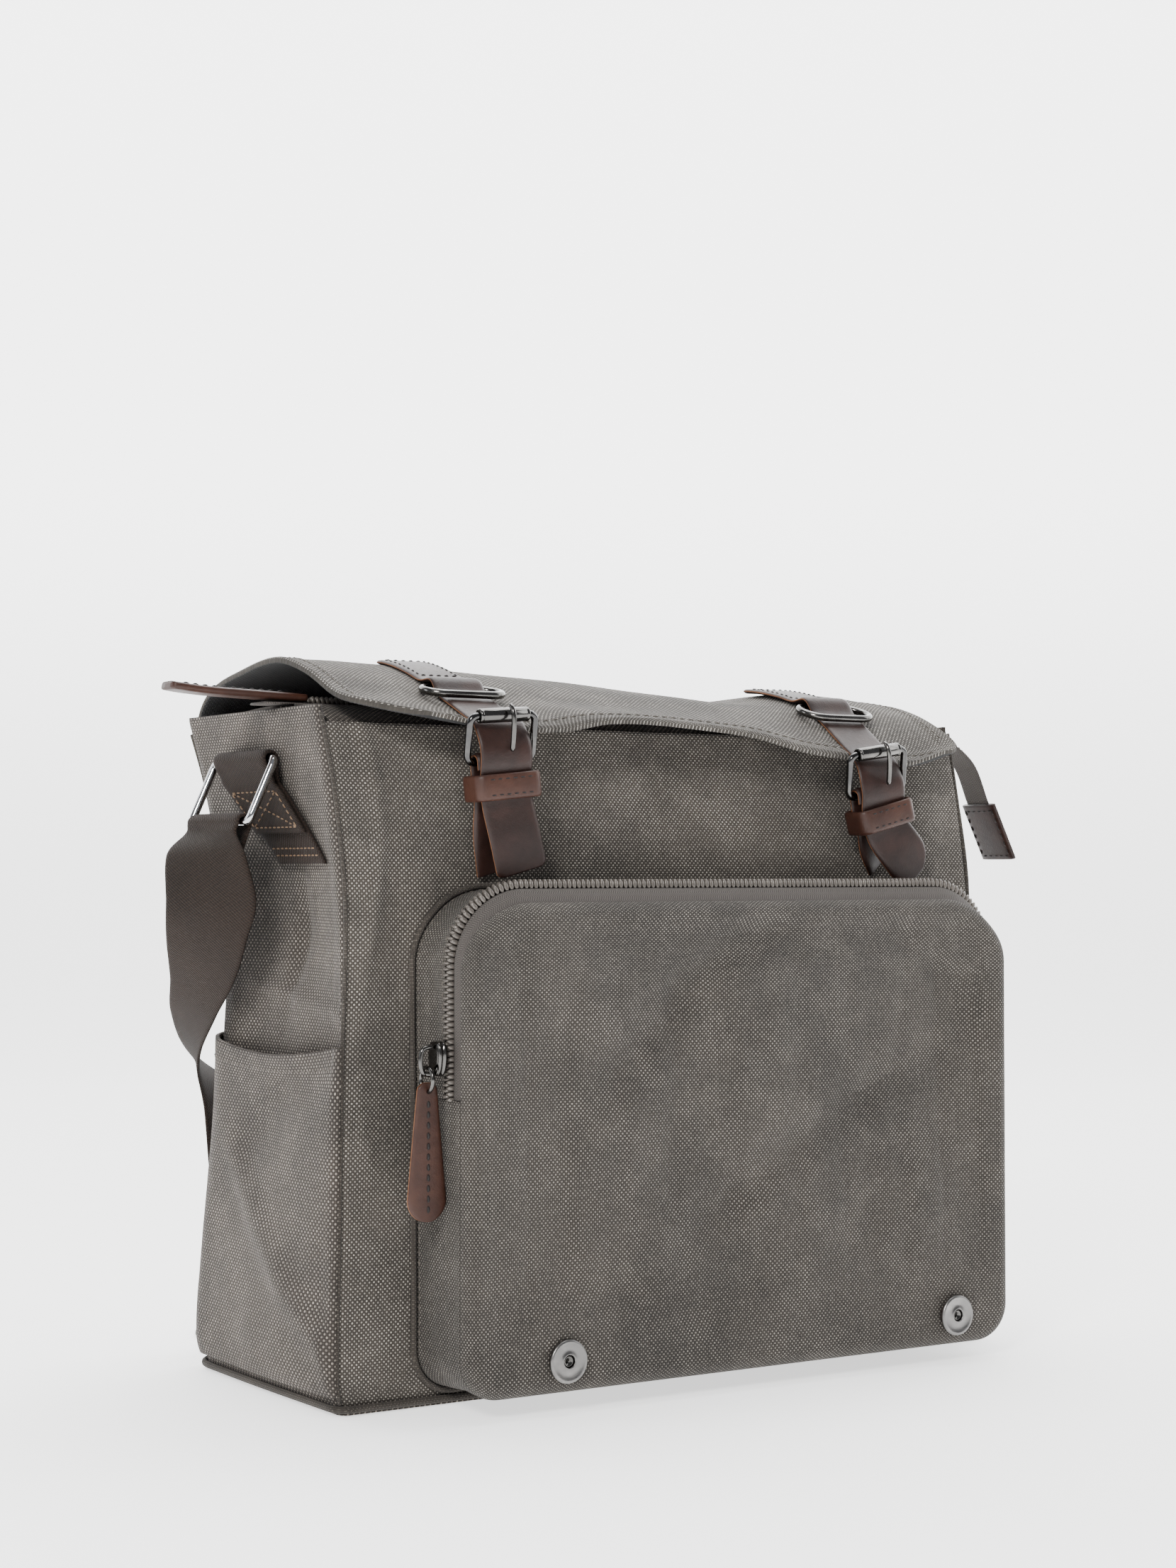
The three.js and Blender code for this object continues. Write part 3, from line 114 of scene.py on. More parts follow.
def dents_at(table, u, at):
    """Sum of soft bells exp(-((u-u0)/a)^2 - ((at-at0)/b)^2) times their depths."""
    total = 0.0
    for u0, at0, across, up, depth in table:
        total = total + depth * np.exp(-(((u - u0) / across) ** 2) - ((at - at0) / up) ** 2)
    return total * BAG["depth"]


def unit(v):
    v = np.asarray(v, float)
    return v / np.maximum(np.linalg.norm(v, axis=-1, keepdims=True), 1e-9)


def wrinkle(a, b, seed, scale=1.0, octaves=4):
    """Soft creases: a seeded sum of slanted sines of rising pitch and falling height, about -1 to 1."""
    rng = np.random.default_rng(seed)
    total, weight = 0.0, 0.0
    for k in range(octaves):
        for _ in range(3):
            angle, phase, warp = rng.uniform(0, math.pi), rng.uniform(0, 6.28), rng.uniform(0.5, 1.5)
            pitch = scale * 1.9**k
            bend = 1.2 * np.sin(pitch * 0.6 * (a * math.sin(angle) - b * math.cos(angle)) * warp + phase * 2)
            total = total + np.sin(pitch * (a * math.cos(angle) + b * math.sin(angle)) + phase + bend) / 1.7**k
            weight += 1 / 1.7**k
    return total / weight * 1.8


def catmull(points, count):
    """A centripetal spline through points, read at even shares of its spans."""
    p = np.asarray(points, float)
    p = np.vstack([2 * p[0] - p[1], p, 2 * p[-1] - p[-2]])
    knots = np.concatenate([[0], np.cumsum(np.sqrt(np.linalg.norm(np.diff(p, axis=0), axis=1)))])
    s = np.linspace(0, len(p) - 3 - 1e-9, count)
    i = s.astype(int)
    t = knots[i + 1] + (s - i) * (knots[i + 2] - knots[i + 1])
    k0, k1, k2, k3, tt = (a[:, None] for a in (knots[i], knots[i + 1], knots[i + 2], knots[i + 3], t))
    a1 = (k1 - tt) / (k1 - k0) * p[i] + (tt - k0) / (k1 - k0) * p[i + 1]
    a2 = (k2 - tt) / (k2 - k1) * p[i + 1] + (tt - k1) / (k2 - k1) * p[i + 2]
    a3 = (k3 - tt) / (k3 - k2) * p[i + 2] + (tt - k2) / (k3 - k2) * p[i + 3]
    b1 = (k2 - tt) / (k2 - k0) * a1 + (tt - k0) / (k2 - k0) * a2
    b2 = (k3 - tt) / (k3 - k1) * a2 + (tt - k1) / (k3 - k1) * a3
    return (k2 - tt) / (k2 - k1) * b1 + (tt - k1) / (k2 - k1) * b2


def run_along(points):
    """The length along a line at each of its points."""
    return np.concatenate([[0], np.cumsum(np.linalg.norm(np.diff(points, axis=0), axis=1))])


def read_line(at, run, points):
    """The points of a line at given lengths along it."""
    return np.stack([np.interp(at, run, points[:, k]) for k in range(points.shape[1])], axis=-1)


def even(points, count):
    """The same line with its stations at even lengths."""
    points = np.asarray(points, float)
    run = run_along(points)
    return read_line(np.linspace(0, run[-1], count), run, points)


# ---- Meshes -----------------------------------------------------------------------------------------------

def mesh_piece(name, points, faces, material, nodes=(), uv=None, smooth=True):
    """A piece from points in millimetres and faces, standing for its CAD nodes, with a UV map in metres."""
    mesh = bpy.data.meshes.new(name)
    mesh.from_pydata((np.asarray(points).reshape(-1, 3) * MM).tolist(), [], np.asarray(faces).tolist())
    if uv is not None:
        layer = mesh.uv_layers.new(name="cloth")
        corner = np.empty(len(mesh.loops), dtype=np.int32)
        mesh.loops.foreach_get("vertex_index", corner)
        layer.data.foreach_set("uv", (np.asarray(uv).reshape(-1, 2)[corner] * MM).ravel())
    mesh.polygons.foreach_set("use_smooth", np.full(len(mesh.polygons), smooth))
    mesh.materials.append(material)
    mesh.update()
    piece = bpy.data.objects.new(name, mesh)
    bpy.context.scene.collection.objects.link(piece)
    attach(piece, "root")
    if nodes:
        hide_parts(*nodes)
    return piece


def grid_faces(rows, columns, wrap_rows=False, wrap_columns=False, first=0):
    """Quads of a grid of rows by columns of points."""
    r = np.arange(rows if wrap_rows else rows - 1)[:, None]
    c = np.arange(columns if wrap_columns else columns - 1)[None, :]
    r2, c2 = (r + 1) % rows, (c + 1) % columns
    quads = np.stack([r * columns + c, r * columns + c2, r2 * columns + c2, r2 * columns + c], axis=-1)
    return quads.reshape(-1, 4) + first


def facing(points, faces):
    """The faces of a closed surface turned so that they point out: the signed volume is positive."""
    p = np.asarray(points).reshape(-1, 3)
    f = np.asarray(faces)
    a, b, c, d = (p[f[:, k]] for k in range(4))
    volume = np.einsum("ij,ij->", a, np.cross(b, c)) + np.einsum("ij,ij->", a, np.cross(c, d))
    return f if volume > 0 else f[:, ::-1]


def slab(outer, inner, wrap=False):
    """A closed cloth layer between two grids, joined around its rims by one row of quads."""
    outer, inner = np.asarray(outer, float), np.asarray(inner, float)
    rows, columns = outer.shape[:2]
    count = rows * columns
    faces = [grid_faces(rows, columns, wrap_columns=wrap),
             grid_faces(rows, columns, wrap_columns=wrap, first=count)[:, ::-1]]
    index = np.arange(count).reshape(rows, columns)
    if wrap:
        rims = [np.append(index[0], index[0, 0]), np.append(index[-1], index[-1, 0])[::-1]]
    else:
        rims = [np.concatenate([index[0, :], index[1:, -1], index[-1, -2::-1], index[-2:0:-1, 0],
                                index[:1, 0]])]
    for rim in rims:
        a, b = rim[:-1], rim[1:]
        faces.append(np.stack([a, a + count, b + count, b], axis=-1))
    points = np.concatenate([outer.reshape(-1, 3), inner.reshape(-1, 3)])
    return points, facing(points, np.concatenate(faces))


def cloth_uv(outer):
    """UVs in millimetres from the mean lengths along a grid's rows and columns."""
    across = np.linalg.norm(np.diff(outer, axis=1), axis=-1).mean(axis=0)
    up = np.linalg.norm(np.diff(outer, axis=0), axis=-1).mean(axis=1)
    u = np.concatenate([[0], np.cumsum(across)])
    v = np.concatenate([[0], np.cumsum(up)])
    return np.stack(np.meshgrid(u, v), axis=-1)


def grid_normals(p):
    """Unit normals of a grid from its two central differences."""
    return unit(np.cross(np.gradient(p, axis=1), np.gradient(p, axis=0)))


def cloth(name, outer, thick, material, nodes=(), slot="canvas", inner=None, uv=None, wrap=False):
    """A cloth layer from its outer grid; the inner one lies a thickness behind it unless given."""
    outer = np.asarray(outer, float)
    if inner is None:
        inner = outer - grid_normals(outer) * thick
    points, faces = slab(outer, inner, wrap)
    flat = cloth_uv(outer) if uv is None else uv
    return mesh_piece(name, points, faces, material, nodes, np.concatenate([flat.reshape(-1, 2)] * 2))


def sweep_points(path, radius, sides, closed, reference):
    """Rings of a round bar: path + r (cos a N + sin a B), N and B from the path and one reference."""
    p = np.asarray(path, float)
    along = (np.roll(p, -1, 0) - np.roll(p, 1, 0)) if closed else np.gradient(p, axis=0)
    along = unit(along)
    n = unit(np.cross(along, np.broadcast_to(reference, along.shape)))
    b = np.cross(along, n)
    a = np.linspace(0, 2 * math.pi, sides, endpoint=False)
    r = np.broadcast_to(np.asarray(radius, float), (len(p),))[:, None, None]
    return p[:, None, :] + r * (np.cos(a)[None, :, None] * n[:, None, :]
                                + np.sin(a)[None, :, None] * b[:, None, :])


def tube_mesh(path, radius, sides, closed, reference):
    """Points and quads of a bar with its ends closed to a point."""
    rings = sweep_points(path, radius, sides, closed, reference)
    if not closed:
        rings = np.concatenate([np.repeat(rings[:1].mean(axis=1, keepdims=True), sides, 1), rings,
                                np.repeat(rings[-1:].mean(axis=1, keepdims=True), sides, 1)])
    faces = grid_faces(len(rings), sides, wrap_rows=closed, wrap_columns=True)
    return rings.reshape(-1, 3), facing(rings, faces)


def tube(name, path, radius, material, nodes=(), sides=14, closed=False, reference=(0, 0, 1)):
    """A piece that is a round bar along a line."""
    points, faces = tube_mesh(path, radius, sides, closed, reference)
    return mesh_piece(name, points, faces, material, nodes, merge_uv(points))


def merge_uv(points):
    """A plain UV from the X+Y and Z places, for pieces whose finish has no direction."""
    return np.stack([points[:, 0] + points[:, 1], points[:, 2]], axis=-1)


def joined(parts):
    """Several point and face lists as one."""
    points, faces, base = [], [], 0
    for p, f in parts:
        points.append(np.asarray(p).reshape(-1, 3))
        faces.append(np.asarray(f) + base)
        base += len(points[-1])
    return np.concatenate(points), np.concatenate(faces)


def rounded_loop(centre, wide, high, half_wide, half_high, corner, arc=6):
    """Points of a rounded rectangle in the plane of two unit axes."""
    points = []
    for quarter in range(4):
        sx, sy = (1 if quarter in (0, 3) else -1), (1 if quarter < 2 else -1)
        for share in np.linspace(0, 1, arc + 1):
            angle = (quarter + share) * math.pi / 2
            points.append(centre + wide * (sx * (half_wide - corner) + corner * math.cos(angle))
                          + high * (sy * (half_high - corner) + corner * math.sin(angle)))
    return np.array(points)


def lathe(name, centre, axis, profile, material, nodes, sides=32, smooth=True):
    """A closed profile of radius and place along an axis, turned round it."""
    axis = unit(axis)
    u = unit(np.cross(axis, (0.3, 0.1, 0.95)))
    w = np.cross(axis, u)
    a = np.linspace(0, 2 * math.pi, sides, endpoint=False)
    profile = np.asarray(profile, float)
    rings = (centre + axis * profile[:, 1:2])[:, None] + profile[:, :1, None] * (
        np.cos(a)[:, None] * u + np.sin(a)[:, None] * w)[None]
    faces = facing(rings, grid_faces(len(profile), sides, wrap_rows=True, wrap_columns=True))
    points = rings.reshape(-1, 3)
    return mesh_piece(name, points, faces, material, nodes, merge_uv(points), smooth)


def stitches(path, normals, length=3.4, gap=1.3, radius=0.33, lift=0.1, dip=0.45):
    """A row of thread stitches: short arched grains along a line, one every length + gap."""
    path = np.asarray(path, float)
    run = run_along(path)
    count = max(int(run[-1] / (length + gap)), 1)
    start = (np.arange(count) + 0.15) * (run[-1] / count)
    at = start[:, None] + np.linspace(0, length, 5)[None, :]
    centre = read_line(at, run, path)
    up = unit(read_line(at, run, np.asarray(normals)))
    arch = lift + dip * (np.sin(np.linspace(0, math.pi, 5)) - 1)
    centre = centre + up * arch[None, :, None]
    along = unit(np.gradient(centre, axis=1))
    side = unit(np.cross(along, up))
    a = np.linspace(0, 2 * math.pi, 5, endpoint=False)
    wide = radius * np.array([0.55, 1, 1.05, 1, 0.55])[None, :, None, None]
    rings = centre[:, :, None, :] + wide * (
        np.cos(a)[None, None, :, None] * side[:, :, None, :]
        + np.sin(a)[None, None, :, None] * np.cross(side, along)[:, :, None, :])
    tip = np.repeat(rings.mean(axis=2, keepdims=True), 5, axis=2)
    rings = np.concatenate([tip[:, :1], rings, tip[:, -1:]], axis=1)
    faces = facing(rings[0], grid_faces(7, 5, wrap_columns=True))
    return rings.reshape(-1, 3), (faces[None] + 35 * np.arange(count)[:, None, None]).reshape(-1, 4)


# ---- Finishes ---------------------------------------------------------------------------------------------

class Value:
    """A shader socket that adds Math nodes when it is used in an expression."""

    def __init__(self, finish, socket):
        self.finish, self.socket = finish, socket

    def _math(self, operation, *terms):
        node = self.finish.nodes.new("ShaderNodeMath")
        node.operation = operation
        for k, term in enumerate(terms):
            self.finish.feed(node.inputs[k], term)
        return Value(self.finish, node.outputs[0])

    def __add__(self, other):
        return self._math("ADD", self, other)

    __radd__ = __add__

    def __mul__(self, other):
        return self._math("MULTIPLY", self, other)

    def __sub__(self, other):
        return self._math("SUBTRACT", self, other)

    def __rsub__(self, other):
        return self._math("SUBTRACT", other, self)

    def sin(self):
        return self._math("SINE", self)

    def abs(self):
        return self._math("ABSOLUTE", self)

    def high(self, other):
        return self._math("MAXIMUM", self, other)

    def low(self, other):
        return self._math("MINIMUM", self, other)

    def floor(self):
        return self._math("FLOOR", self)

    def fract(self):
        return self._math("FRACT", self)

    def step(self, low, high):
        """Smooth share of the way from one value to another."""
        node = self.finish.nodes.new("ShaderNodeMapRange")
        node.interpolation_type = "SMOOTHSTEP"
        node.clamp = True
        for k, term in enumerate((self, low, high, 0.0, 1.0)):
            self.finish.feed(node.inputs[k], term)
        return Value(self.finish, node.outputs[0])


class Finish:
    """One procedural material: a Principled shader with what varies fed into it."""

    def __init__(self, name, rough, metal=0.0, **fixed):
        self.material = bpy.data.materials.new(name)
        self.material.use_nodes = True
        self.tree = self.material.node_tree
        self.nodes = self.tree.nodes
        self.shader = next(n for n in self.nodes if n.type == "BSDF_PRINCIPLED")
        self.shader.inputs["Roughness"].default_value = rough
        self.shader.inputs["Metallic"].default_value = metal
        for key, value in fixed.items():
            self.shader.inputs[key.replace("_", " ")].default_value = value

    def feed(self, socket, term):
        if isinstance(term, Value):
            self.tree.links.new(term.socket, socket)
        else:
            socket.default_value = term

    def node(self, kind, settings=None, output=0, **inputs):
        node = self.nodes.new(kind)
        for key, value in (settings or {}).items():
            setattr(node, key, value)
        for key, value in inputs.items():
            numbered = key[0] == "i" and key[1:].isdigit()
            self.feed(node.inputs[int(key[1:]) if numbered else key], value)
        return Value(self, node.outputs[output])

    def place(self):
        """Object coordinates in metres."""
        return self.node("ShaderNodeTexCoord", output=3)

    def cloth(self):
        """The piece's own UV map in metres."""
        return self.node("ShaderNodeUVMap", {"uv_map": "cloth"})

    def split(self, vector):
        node = self.nodes.new("ShaderNodeSeparateXYZ")
        self.feed(node.inputs[0], vector)
        return [Value(self, out) for out in node.outputs]

    def noise(self, vector, scale, detail=3.0, rough=0.55, distort=0.0):
        return self.node("ShaderNodeTexNoise", Vector=vector, Scale=scale, Detail=detail, Roughness=rough,
                         Distortion=distort)

    def stretched(self, vector, x, y, z):
        return self.node("ShaderNodeMapping", i0=vector, i3=(x, y, z))

    def blend(self, share, a, b, kind="MIX"):
        """Colours a and b mixed by a share."""
        node = self.nodes.new("ShaderNodeMix")
        node.data_type, node.blend_type = "RGBA", kind
        self.feed(node.inputs[0], share)
        for socket, colour in ((node.inputs[6], a), (node.inputs[7], b)):
            self.feed(socket, colour if isinstance(colour, Value) else (*colour, 1.0))
        return Value(self, node.outputs[2])

    def colour(self, value):
        self.feed(self.shader.inputs["Base Color"], value if isinstance(value, Value) else (*value, 1.0))

    def rough(self, value):
        self.feed(self.shader.inputs["Roughness"], value)

    def bump(self, height, distance, strength=1.0):
        node = self.nodes.new("ShaderNodeBump")
        node.inputs["Strength"].default_value = strength
        node.inputs["Distance"].default_value = distance
        self.feed(node.inputs["Height"], height)
        self.tree.links.new(node.outputs[0], self.shader.inputs["Normal"])


def weave(finish, cloth, pitch, slub=0.25):
    """Plain weave: the height of the threads, and the share of a pale weft thread that lies on top.

    The height is |sin| of each direction, and a checker of the thread numbers says which is on top.
    """
    u, v, _ = finish.split(cloth)
    wander = finish.noise(cloth, 260.0, 2.0) - 0.5
    u, v = u * (1 / pitch) + wander * slub, v * (1 / pitch) + wander * slub
    warp, weft = (u * math.pi).sin().abs(), (v * math.pi).sin().abs()
    checker = ((u.floor() + v.floor()) * 0.5).fract() * 2.0
    top = checker * warp * (weft * 0.6 + 0.4) + (1.0 - checker) * weft * (warp * 0.6 + 0.4)
    return top, ((1.0 - checker) * warp * weft).step(0.18, 0.72)


def canvas_finish(name, dark, light, dots, worn=0.5, pitch=0.00112):
    """Washed canvas: a plain weave with pale weft dots, cloudy wash marks and thick and thin threads."""
    f = Finish(name, 0.93, Sheen_Weight=0.03, Sheen_Roughness=0.5)
    cloth, place = f.cloth(), f.place()
    top, pale = weave(f, cloth, pitch)
    clouds = f.noise(place, 14.0, 4.0, 0.6)
    rubbed = f.noise(place, 46.0, 5.0, 0.65).step(0.42, 0.68)
    streaks = f.noise(f.stretched(cloth, 900.0, 60.0, 1.0), 1.0, 3.0, 0.6)
    cross = f.noise(f.stretched(cloth, 60.0, 900.0, 1.0), 1.0, 3.0, 0.6)
    fine = f.noise(cloth, 1500.0, 2.0, 0.7)
    wash = clouds.step(0.3, 0.72) * worn + (streaks + cross - 1.0) * 0.8 + rubbed * 0.25 + 0.12
    base = f.blend((wash.high(0.0) * (top * 0.7 + 0.4)).low(1.0), dark, light)
    slubs = f.noise(cloth, 420.0, 2.0, 0.6).step(0.3, 0.7)
    speck = pale * (slubs * 0.55 + 0.35) * (fine * 0.7 + 0.6) * (rubbed * 0.45 + clouds * 0.5 + 0.45)
    f.colour(f.blend(speck.low(1.0), base, dots))
    f.rough(0.97 - top * 0.12)
    f.bump(top + pale * 0.4 + fine * 0.4 + (streaks + cross) * 0.35, 0.00032, 0.8)
    return f.material


def leather_finish(name, dark, light, rough=0.46):
    """Waxed leather: fine cells and pores, cloudy tone and soft scuffs."""
    f = Finish(name, rough, Coat_Weight=0.04, Coat_Roughness=0.35, Specular_IOR_Level=0.3)
    place = f.place()
    cells = f.node("ShaderNodeTexVoronoi", {"feature": "SMOOTH_F1"}, Vector=place, Scale=1500.0)
    creases = f.noise(place, 420.0, 5.0, 0.65, 0.4)
    clouds = f.noise(place, 55.0, 3.0, 0.6)
    scuff = f.noise(place, 160.0, 5.0, 0.75).step(0.6, 0.75)
    tone = (clouds.step(0.3, 0.7) * 0.7 + scuff * 0.35 + creases * 0.25 - 0.1).high(0.0).low(1.0)
    f.colour(f.blend(tone, dark, light))
    f.rough(rough + (creases - 0.5) * 0.25 + scuff * 0.12)
    f.bump(creases * 0.8 + cells * 0.45, 0.00018, 0.6)
    return f.material


def webbing_finish(name, dark, light):
    """Heavy webbing: a fine slanting twill of short cords, with a worn tone and short fibres."""
    f = Finish(name, 0.9, Specular_IOR_Level=0.3)
    cloth, place = f.cloth(), f.place()
    u, v, _ = f.split(cloth)
    slant = u * (1 / 0.0019) + v * (1 / 0.0014)
    twill = (slant * math.pi).sin().abs()
    beads = ((v * (1 / 0.0011) + slant.floor() * 0.5) * math.pi).sin().abs()
    thread = f.noise(f.stretched(cloth, 1800.0, 500.0, 1.0), 1.0, 3.0, 0.7)
    clouds = f.noise(place, 30.0, 3.0)
    tone = (twill * beads * 0.5 + thread * 0.45 + clouds * 0.5 - 0.35).high(0.0).low(1.0)
    f.colour(f.blend(tone, dark, light))
    f.rough(0.95 - twill * 0.1)
    f.bump(twill * 0.8 + beads * 0.3 + thread * 0.4, 0.00035, 0.8)
    return f.material


def tape_finish(name, dark, light):
    """Zip tape: a fine herringbone in its own UV."""
    f = Finish(name, 0.88)
    cloth = f.cloth()
    u, v, _ = f.split(cloth)
    zig = ((u * (1 / 0.0028)).fract() - 0.5).abs()
    bone = ((v * (1 / 0.0011) + zig * 2.4) * (2 * math.pi)).sin() * 0.5 + 0.5
    fine = f.noise(cloth, 2400.0, 2.0)
    f.colour(f.blend((bone * 0.75 + fine * 0.4 - 0.1).high(0.0).low(1.0), dark, light))
    f.bump(bone + fine * 0.4, 0.0002, 0.7)
    return f.material


def metal_finish(name, colour, worn, rough, brushed=0.0, metal=1.0):
    """Plated metal: soft tone, fine wear and faint scratches in the gloss."""
    f = Finish(name, rough, metal)
    place = f.place()
    clouds = f.noise(place, 60.0, 3.0, 0.6)
    scratch = f.noise(f.stretched(place, 200.0, 900.0, 400.0), 1.0, 2.0, 0.6)
    wear = (clouds * 0.8 + scratch * 0.3).step(0.5, 0.85)
    f.colour(f.blend(wear, colour, worn))
    f.rough(rough + (scratch - 0.5) * (0.04 + brushed) + (clouds - 0.5) * 0.05)
    return f.material


def thread_finish(name, dark, light):
    """Sewing thread: a twist of light and dark along each stitch."""
    f = Finish(name, 0.7)
    f.colour(f.blend(f.noise(f.place(), 1500.0, 2.0).step(0.35, 0.65), dark, light))
    return f.material


CANVAS = canvas_finish("washed canvas", (0.0125, 0.0104, 0.0084), (0.046, 0.0385, 0.0315),
                       (0.315, 0.288, 0.250), 0.6, 0.00102)
# A copy of the washed canvas painted lighter for the front panel, standing for the light that falls on it: painted
# light.
CANVAS_BODY_PAINTED_LIGHT = canvas_finish("body canvas painted lighter", (0.020, 0.0168, 0.0136), (0.078, 0.0665, 0.0550),
                            (0.50, 0.46, 0.405), 0.6, 0.00106)
# A copy of the washed canvas with a coarser weave, painted lighter than the pocket face's for the gussets, base and
# closure, standing for the light on them: painted light.
CANVAS_SIDE_PAINTED_LIGHT = canvas_finish("side canvas painted lighter", (0.015, 0.0115, 0.0090), (0.055, 0.0440, 0.0352),
                            (0.40, 0.352, 0.300), 0.6, 0.00128)
# A copy of the washed canvas painted lighter for the flap's top, standing for the light that falls on it from
# above: painted light.
CANVAS_TOP_PAINTED_LIGHT = canvas_finish("flap canvas painted lighter", (0.021, 0.0182, 0.0152), (0.082, 0.0725, 0.0615),
                           (0.55, 0.515, 0.465), 0.6, 0.00106)
BINDING = canvas_finish("binding", (0.018, 0.0145, 0.0115), (0.060, 0.0500, 0.0405),
                        (0.12, 0.104, 0.086), 0.5, 0.0008)
LINING = canvas_finish("lining", (0.010, 0.010, 0.0105), (0.024, 0.0235, 0.024), (0.055, 0.055, 0.055))
LEATHER = leather_finish("dark leather", (0.0125, 0.0049, 0.0036), (0.031, 0.0126, 0.0093))
LEATHER_BROWN = leather_finish("brown leather", (0.026, 0.0093, 0.0057), (0.062, 0.0245, 0.0152))
RAW_EDGE = leather_finish("raw edge", (0.12, 0.046, 0.0190), (0.27, 0.120, 0.055), 0.7)
WEBBING = webbing_finish("twill webbing", (0.0042, 0.0020, 0.0011), (0.027, 0.0145, 0.0085))
TAPE = tape_finish("zip tape", (0.022, 0.0185, 0.0165), (0.095, 0.083, 0.075))
GUNMETAL = metal_finish("gunmetal", (0.065, 0.064, 0.064), (0.12, 0.118, 0.112), 0.16)
GUNMETAL_RUBBED = metal_finish("rubbed gunmetal", (0.095, 0.092, 0.088), (0.17, 0.165, 0.155), 0.19)
TEETH = metal_finish("zip teeth", (0.115, 0.102, 0.090), (0.19, 0.170, 0.150), 0.3, 0.0, 0.35)
NICKEL = metal_finish("satin nickel", (0.17, 0.166, 0.162), (0.28, 0.272, 0.262), 0.34, 0.1)
BRIGHT = metal_finish("bright nickel", (0.50, 0.50, 0.51), (0.70, 0.70, 0.70), 0.1)
THREAD = thread_finish("canvas thread", (0.034, 0.029, 0.024), (0.115, 0.100, 0.082))
THREAD_DARK = thread_finish("leather thread", (0.003, 0.0018, 0.0015), (0.010, 0.006, 0.005))
THREAD_TAN = thread_finish("tan thread", (0.085, 0.048, 0.024), (0.20, 0.125, 0.07))


# ---- Body -------------------------------------------------------------------------------------------------

def section(z):
    """Half width, front, back, rear corner and dent of the body at a height, in millimetres."""
    at = np.asarray(z, float) / BAG["height"]
    return (read(SECTIONS, 1, at) * BAG["width"] / 2, -read(SECTIONS, 2, at) * BAG["depth"] / 2,
            read(SECTIONS, 3, at) * BAG["depth"] / 2, read(SECTIONS, 4, at) * BAG["depth"],
            read(SECTIONS, 5, at) * BAG["depth"])


def wall_frame(name, z):
    """A wall at a height: start, direction, outward direction, length, both corner radii and the dent."""
    half, front, back, corner, dent = section(z)
    sharp = np.full_like(half, BAG["front_corner"])
    zero, one = np.zeros_like(half), np.ones_like(half)
    frames = {
        "front": ((-half, front), (one, zero), (zero, -one), 2 * half, sharp, sharp),
        "right": ((half, front), (zero, one), (one, zero), back - front, sharp, corner),
        "back": ((half, back), (-one, zero), (zero, one), 2 * half, corner, corner),
        "left": ((-half, back), (zero, -one), (-one, zero), back - front, corner, sharp)}
    return (*frames[name], dent)


def fine_folds(name, u, z):
    """Small soft creases of the cloth on each wall, in millimetres."""
    at = z / BAG["height"]
    if name == "front":
        upper = ease(0.6, 0.8, at)
        crease = 1.1 * np.exp(-((u - 0.035 - 0.02 * np.sin(at * 9)) / 0.012) ** 2) * ease(0.25, 0.5, at)
        return 2.4 * wrinkle(u * 5, at * 2.6, 11, 1.6) * (0.35 + 0.65 * upper) + 2.0 * crease
    if name == "back":
        return 0.7 * wrinkle(u * 4, at * 2.4, 12, 1.6)
    seed = 13 if name == "left" else 14
    across = u if name == "left" else 1 - u
    slant = -1.2 * np.exp(-((across - 0.55 - 0.5 * (at - 0.62)) / 0.05) ** 2 - ((at - 0.66) / 0.1) ** 2)
    tuck = 0.9 * np.exp(-((at - 0.585 + 0.05 * (across - 0.5)) / 0.012) ** 2) * ease(0.1, 0.4, across)
    sag = -1.6 * np.exp(-((at - 0.40 - 0.25 * (across - 0.5)) / 0.05) ** 2) * ease(0.15, 0.5, across)
    low = 1.5 * np.exp(-((at - 0.22 + 0.35 * (across - 0.6)) / 0.035) ** 2) * ease(0.1, 0.4, across)
    return 1.9 * wrinkle(across * 2.5, at * 3.2, seed, 1.5) + 2.0 * (slant + tuck + sag + low)


def wall_point(name, u, z, inset, folds=0.0):
    """Rounded corner, straight run, rounded corner; moved along the outward normal by swell - inset."""
    u, z = np.broadcast_arrays(np.asarray(u, float), np.asarray(z, float))
    start, along, out, length, first, last, dent = wall_frame(name, z)
    arc_a, arc_b = first * math.pi / 4, last * math.pi / 4
    straight = length - first - last
    run = u * (arc_a + straight + arc_b)
    s, d, ns, nd = first + run - arc_a, np.zeros_like(run), np.zeros_like(run), np.ones_like(run)
    a = math.pi / 4 + run / first
    one = run < arc_a
    s, d = np.where(one, first * (1 - np.cos(a)), s), np.where(one, first * (1 - np.sin(a)), d)
    ns, nd = np.where(one, -np.cos(a), ns), np.where(one, np.sin(a), nd)
    a = math.pi / 2 - (run - arc_a - straight) / last
    two = run > arc_a + straight
    s, d = np.where(two, length - last * (1 - np.cos(a)), s), np.where(two, last * (1 - np.sin(a)), d)
    ns, nd = np.where(two, np.cos(a), ns), np.where(two, np.sin(a), nd)
    at = z / BAG["height"]
    fade = ease(0, 0.12, u) * ease(0, 0.12, 1 - u)
    if name == "front":
        swell = -dents_at(FRONT_DENTS, u, at)
    elif name == "back":
        swell = -dents_at(BACK_DENTS, u, at)
    else:
        swell = -(dent * np.sin(math.pi * u) + dents_at(GUSSET_DENTS, u if name == "left" else 1 - u, at))
    edge = ease(0, 0.05, u) * ease(0, 0.05, 1 - u) * ease(2, 16, z)
    move = swell * fade - inset + (fine_folds(name, u, z) * edge * folds if folds else 0)
    along_by, out_by = s + ns * move, -d + nd * move
    return np.stack([start[0] + along[0] * along_by + out[0] * out_by,
                     start[1] + along[1] * along_by + out[1] * out_by, z], axis=-1)


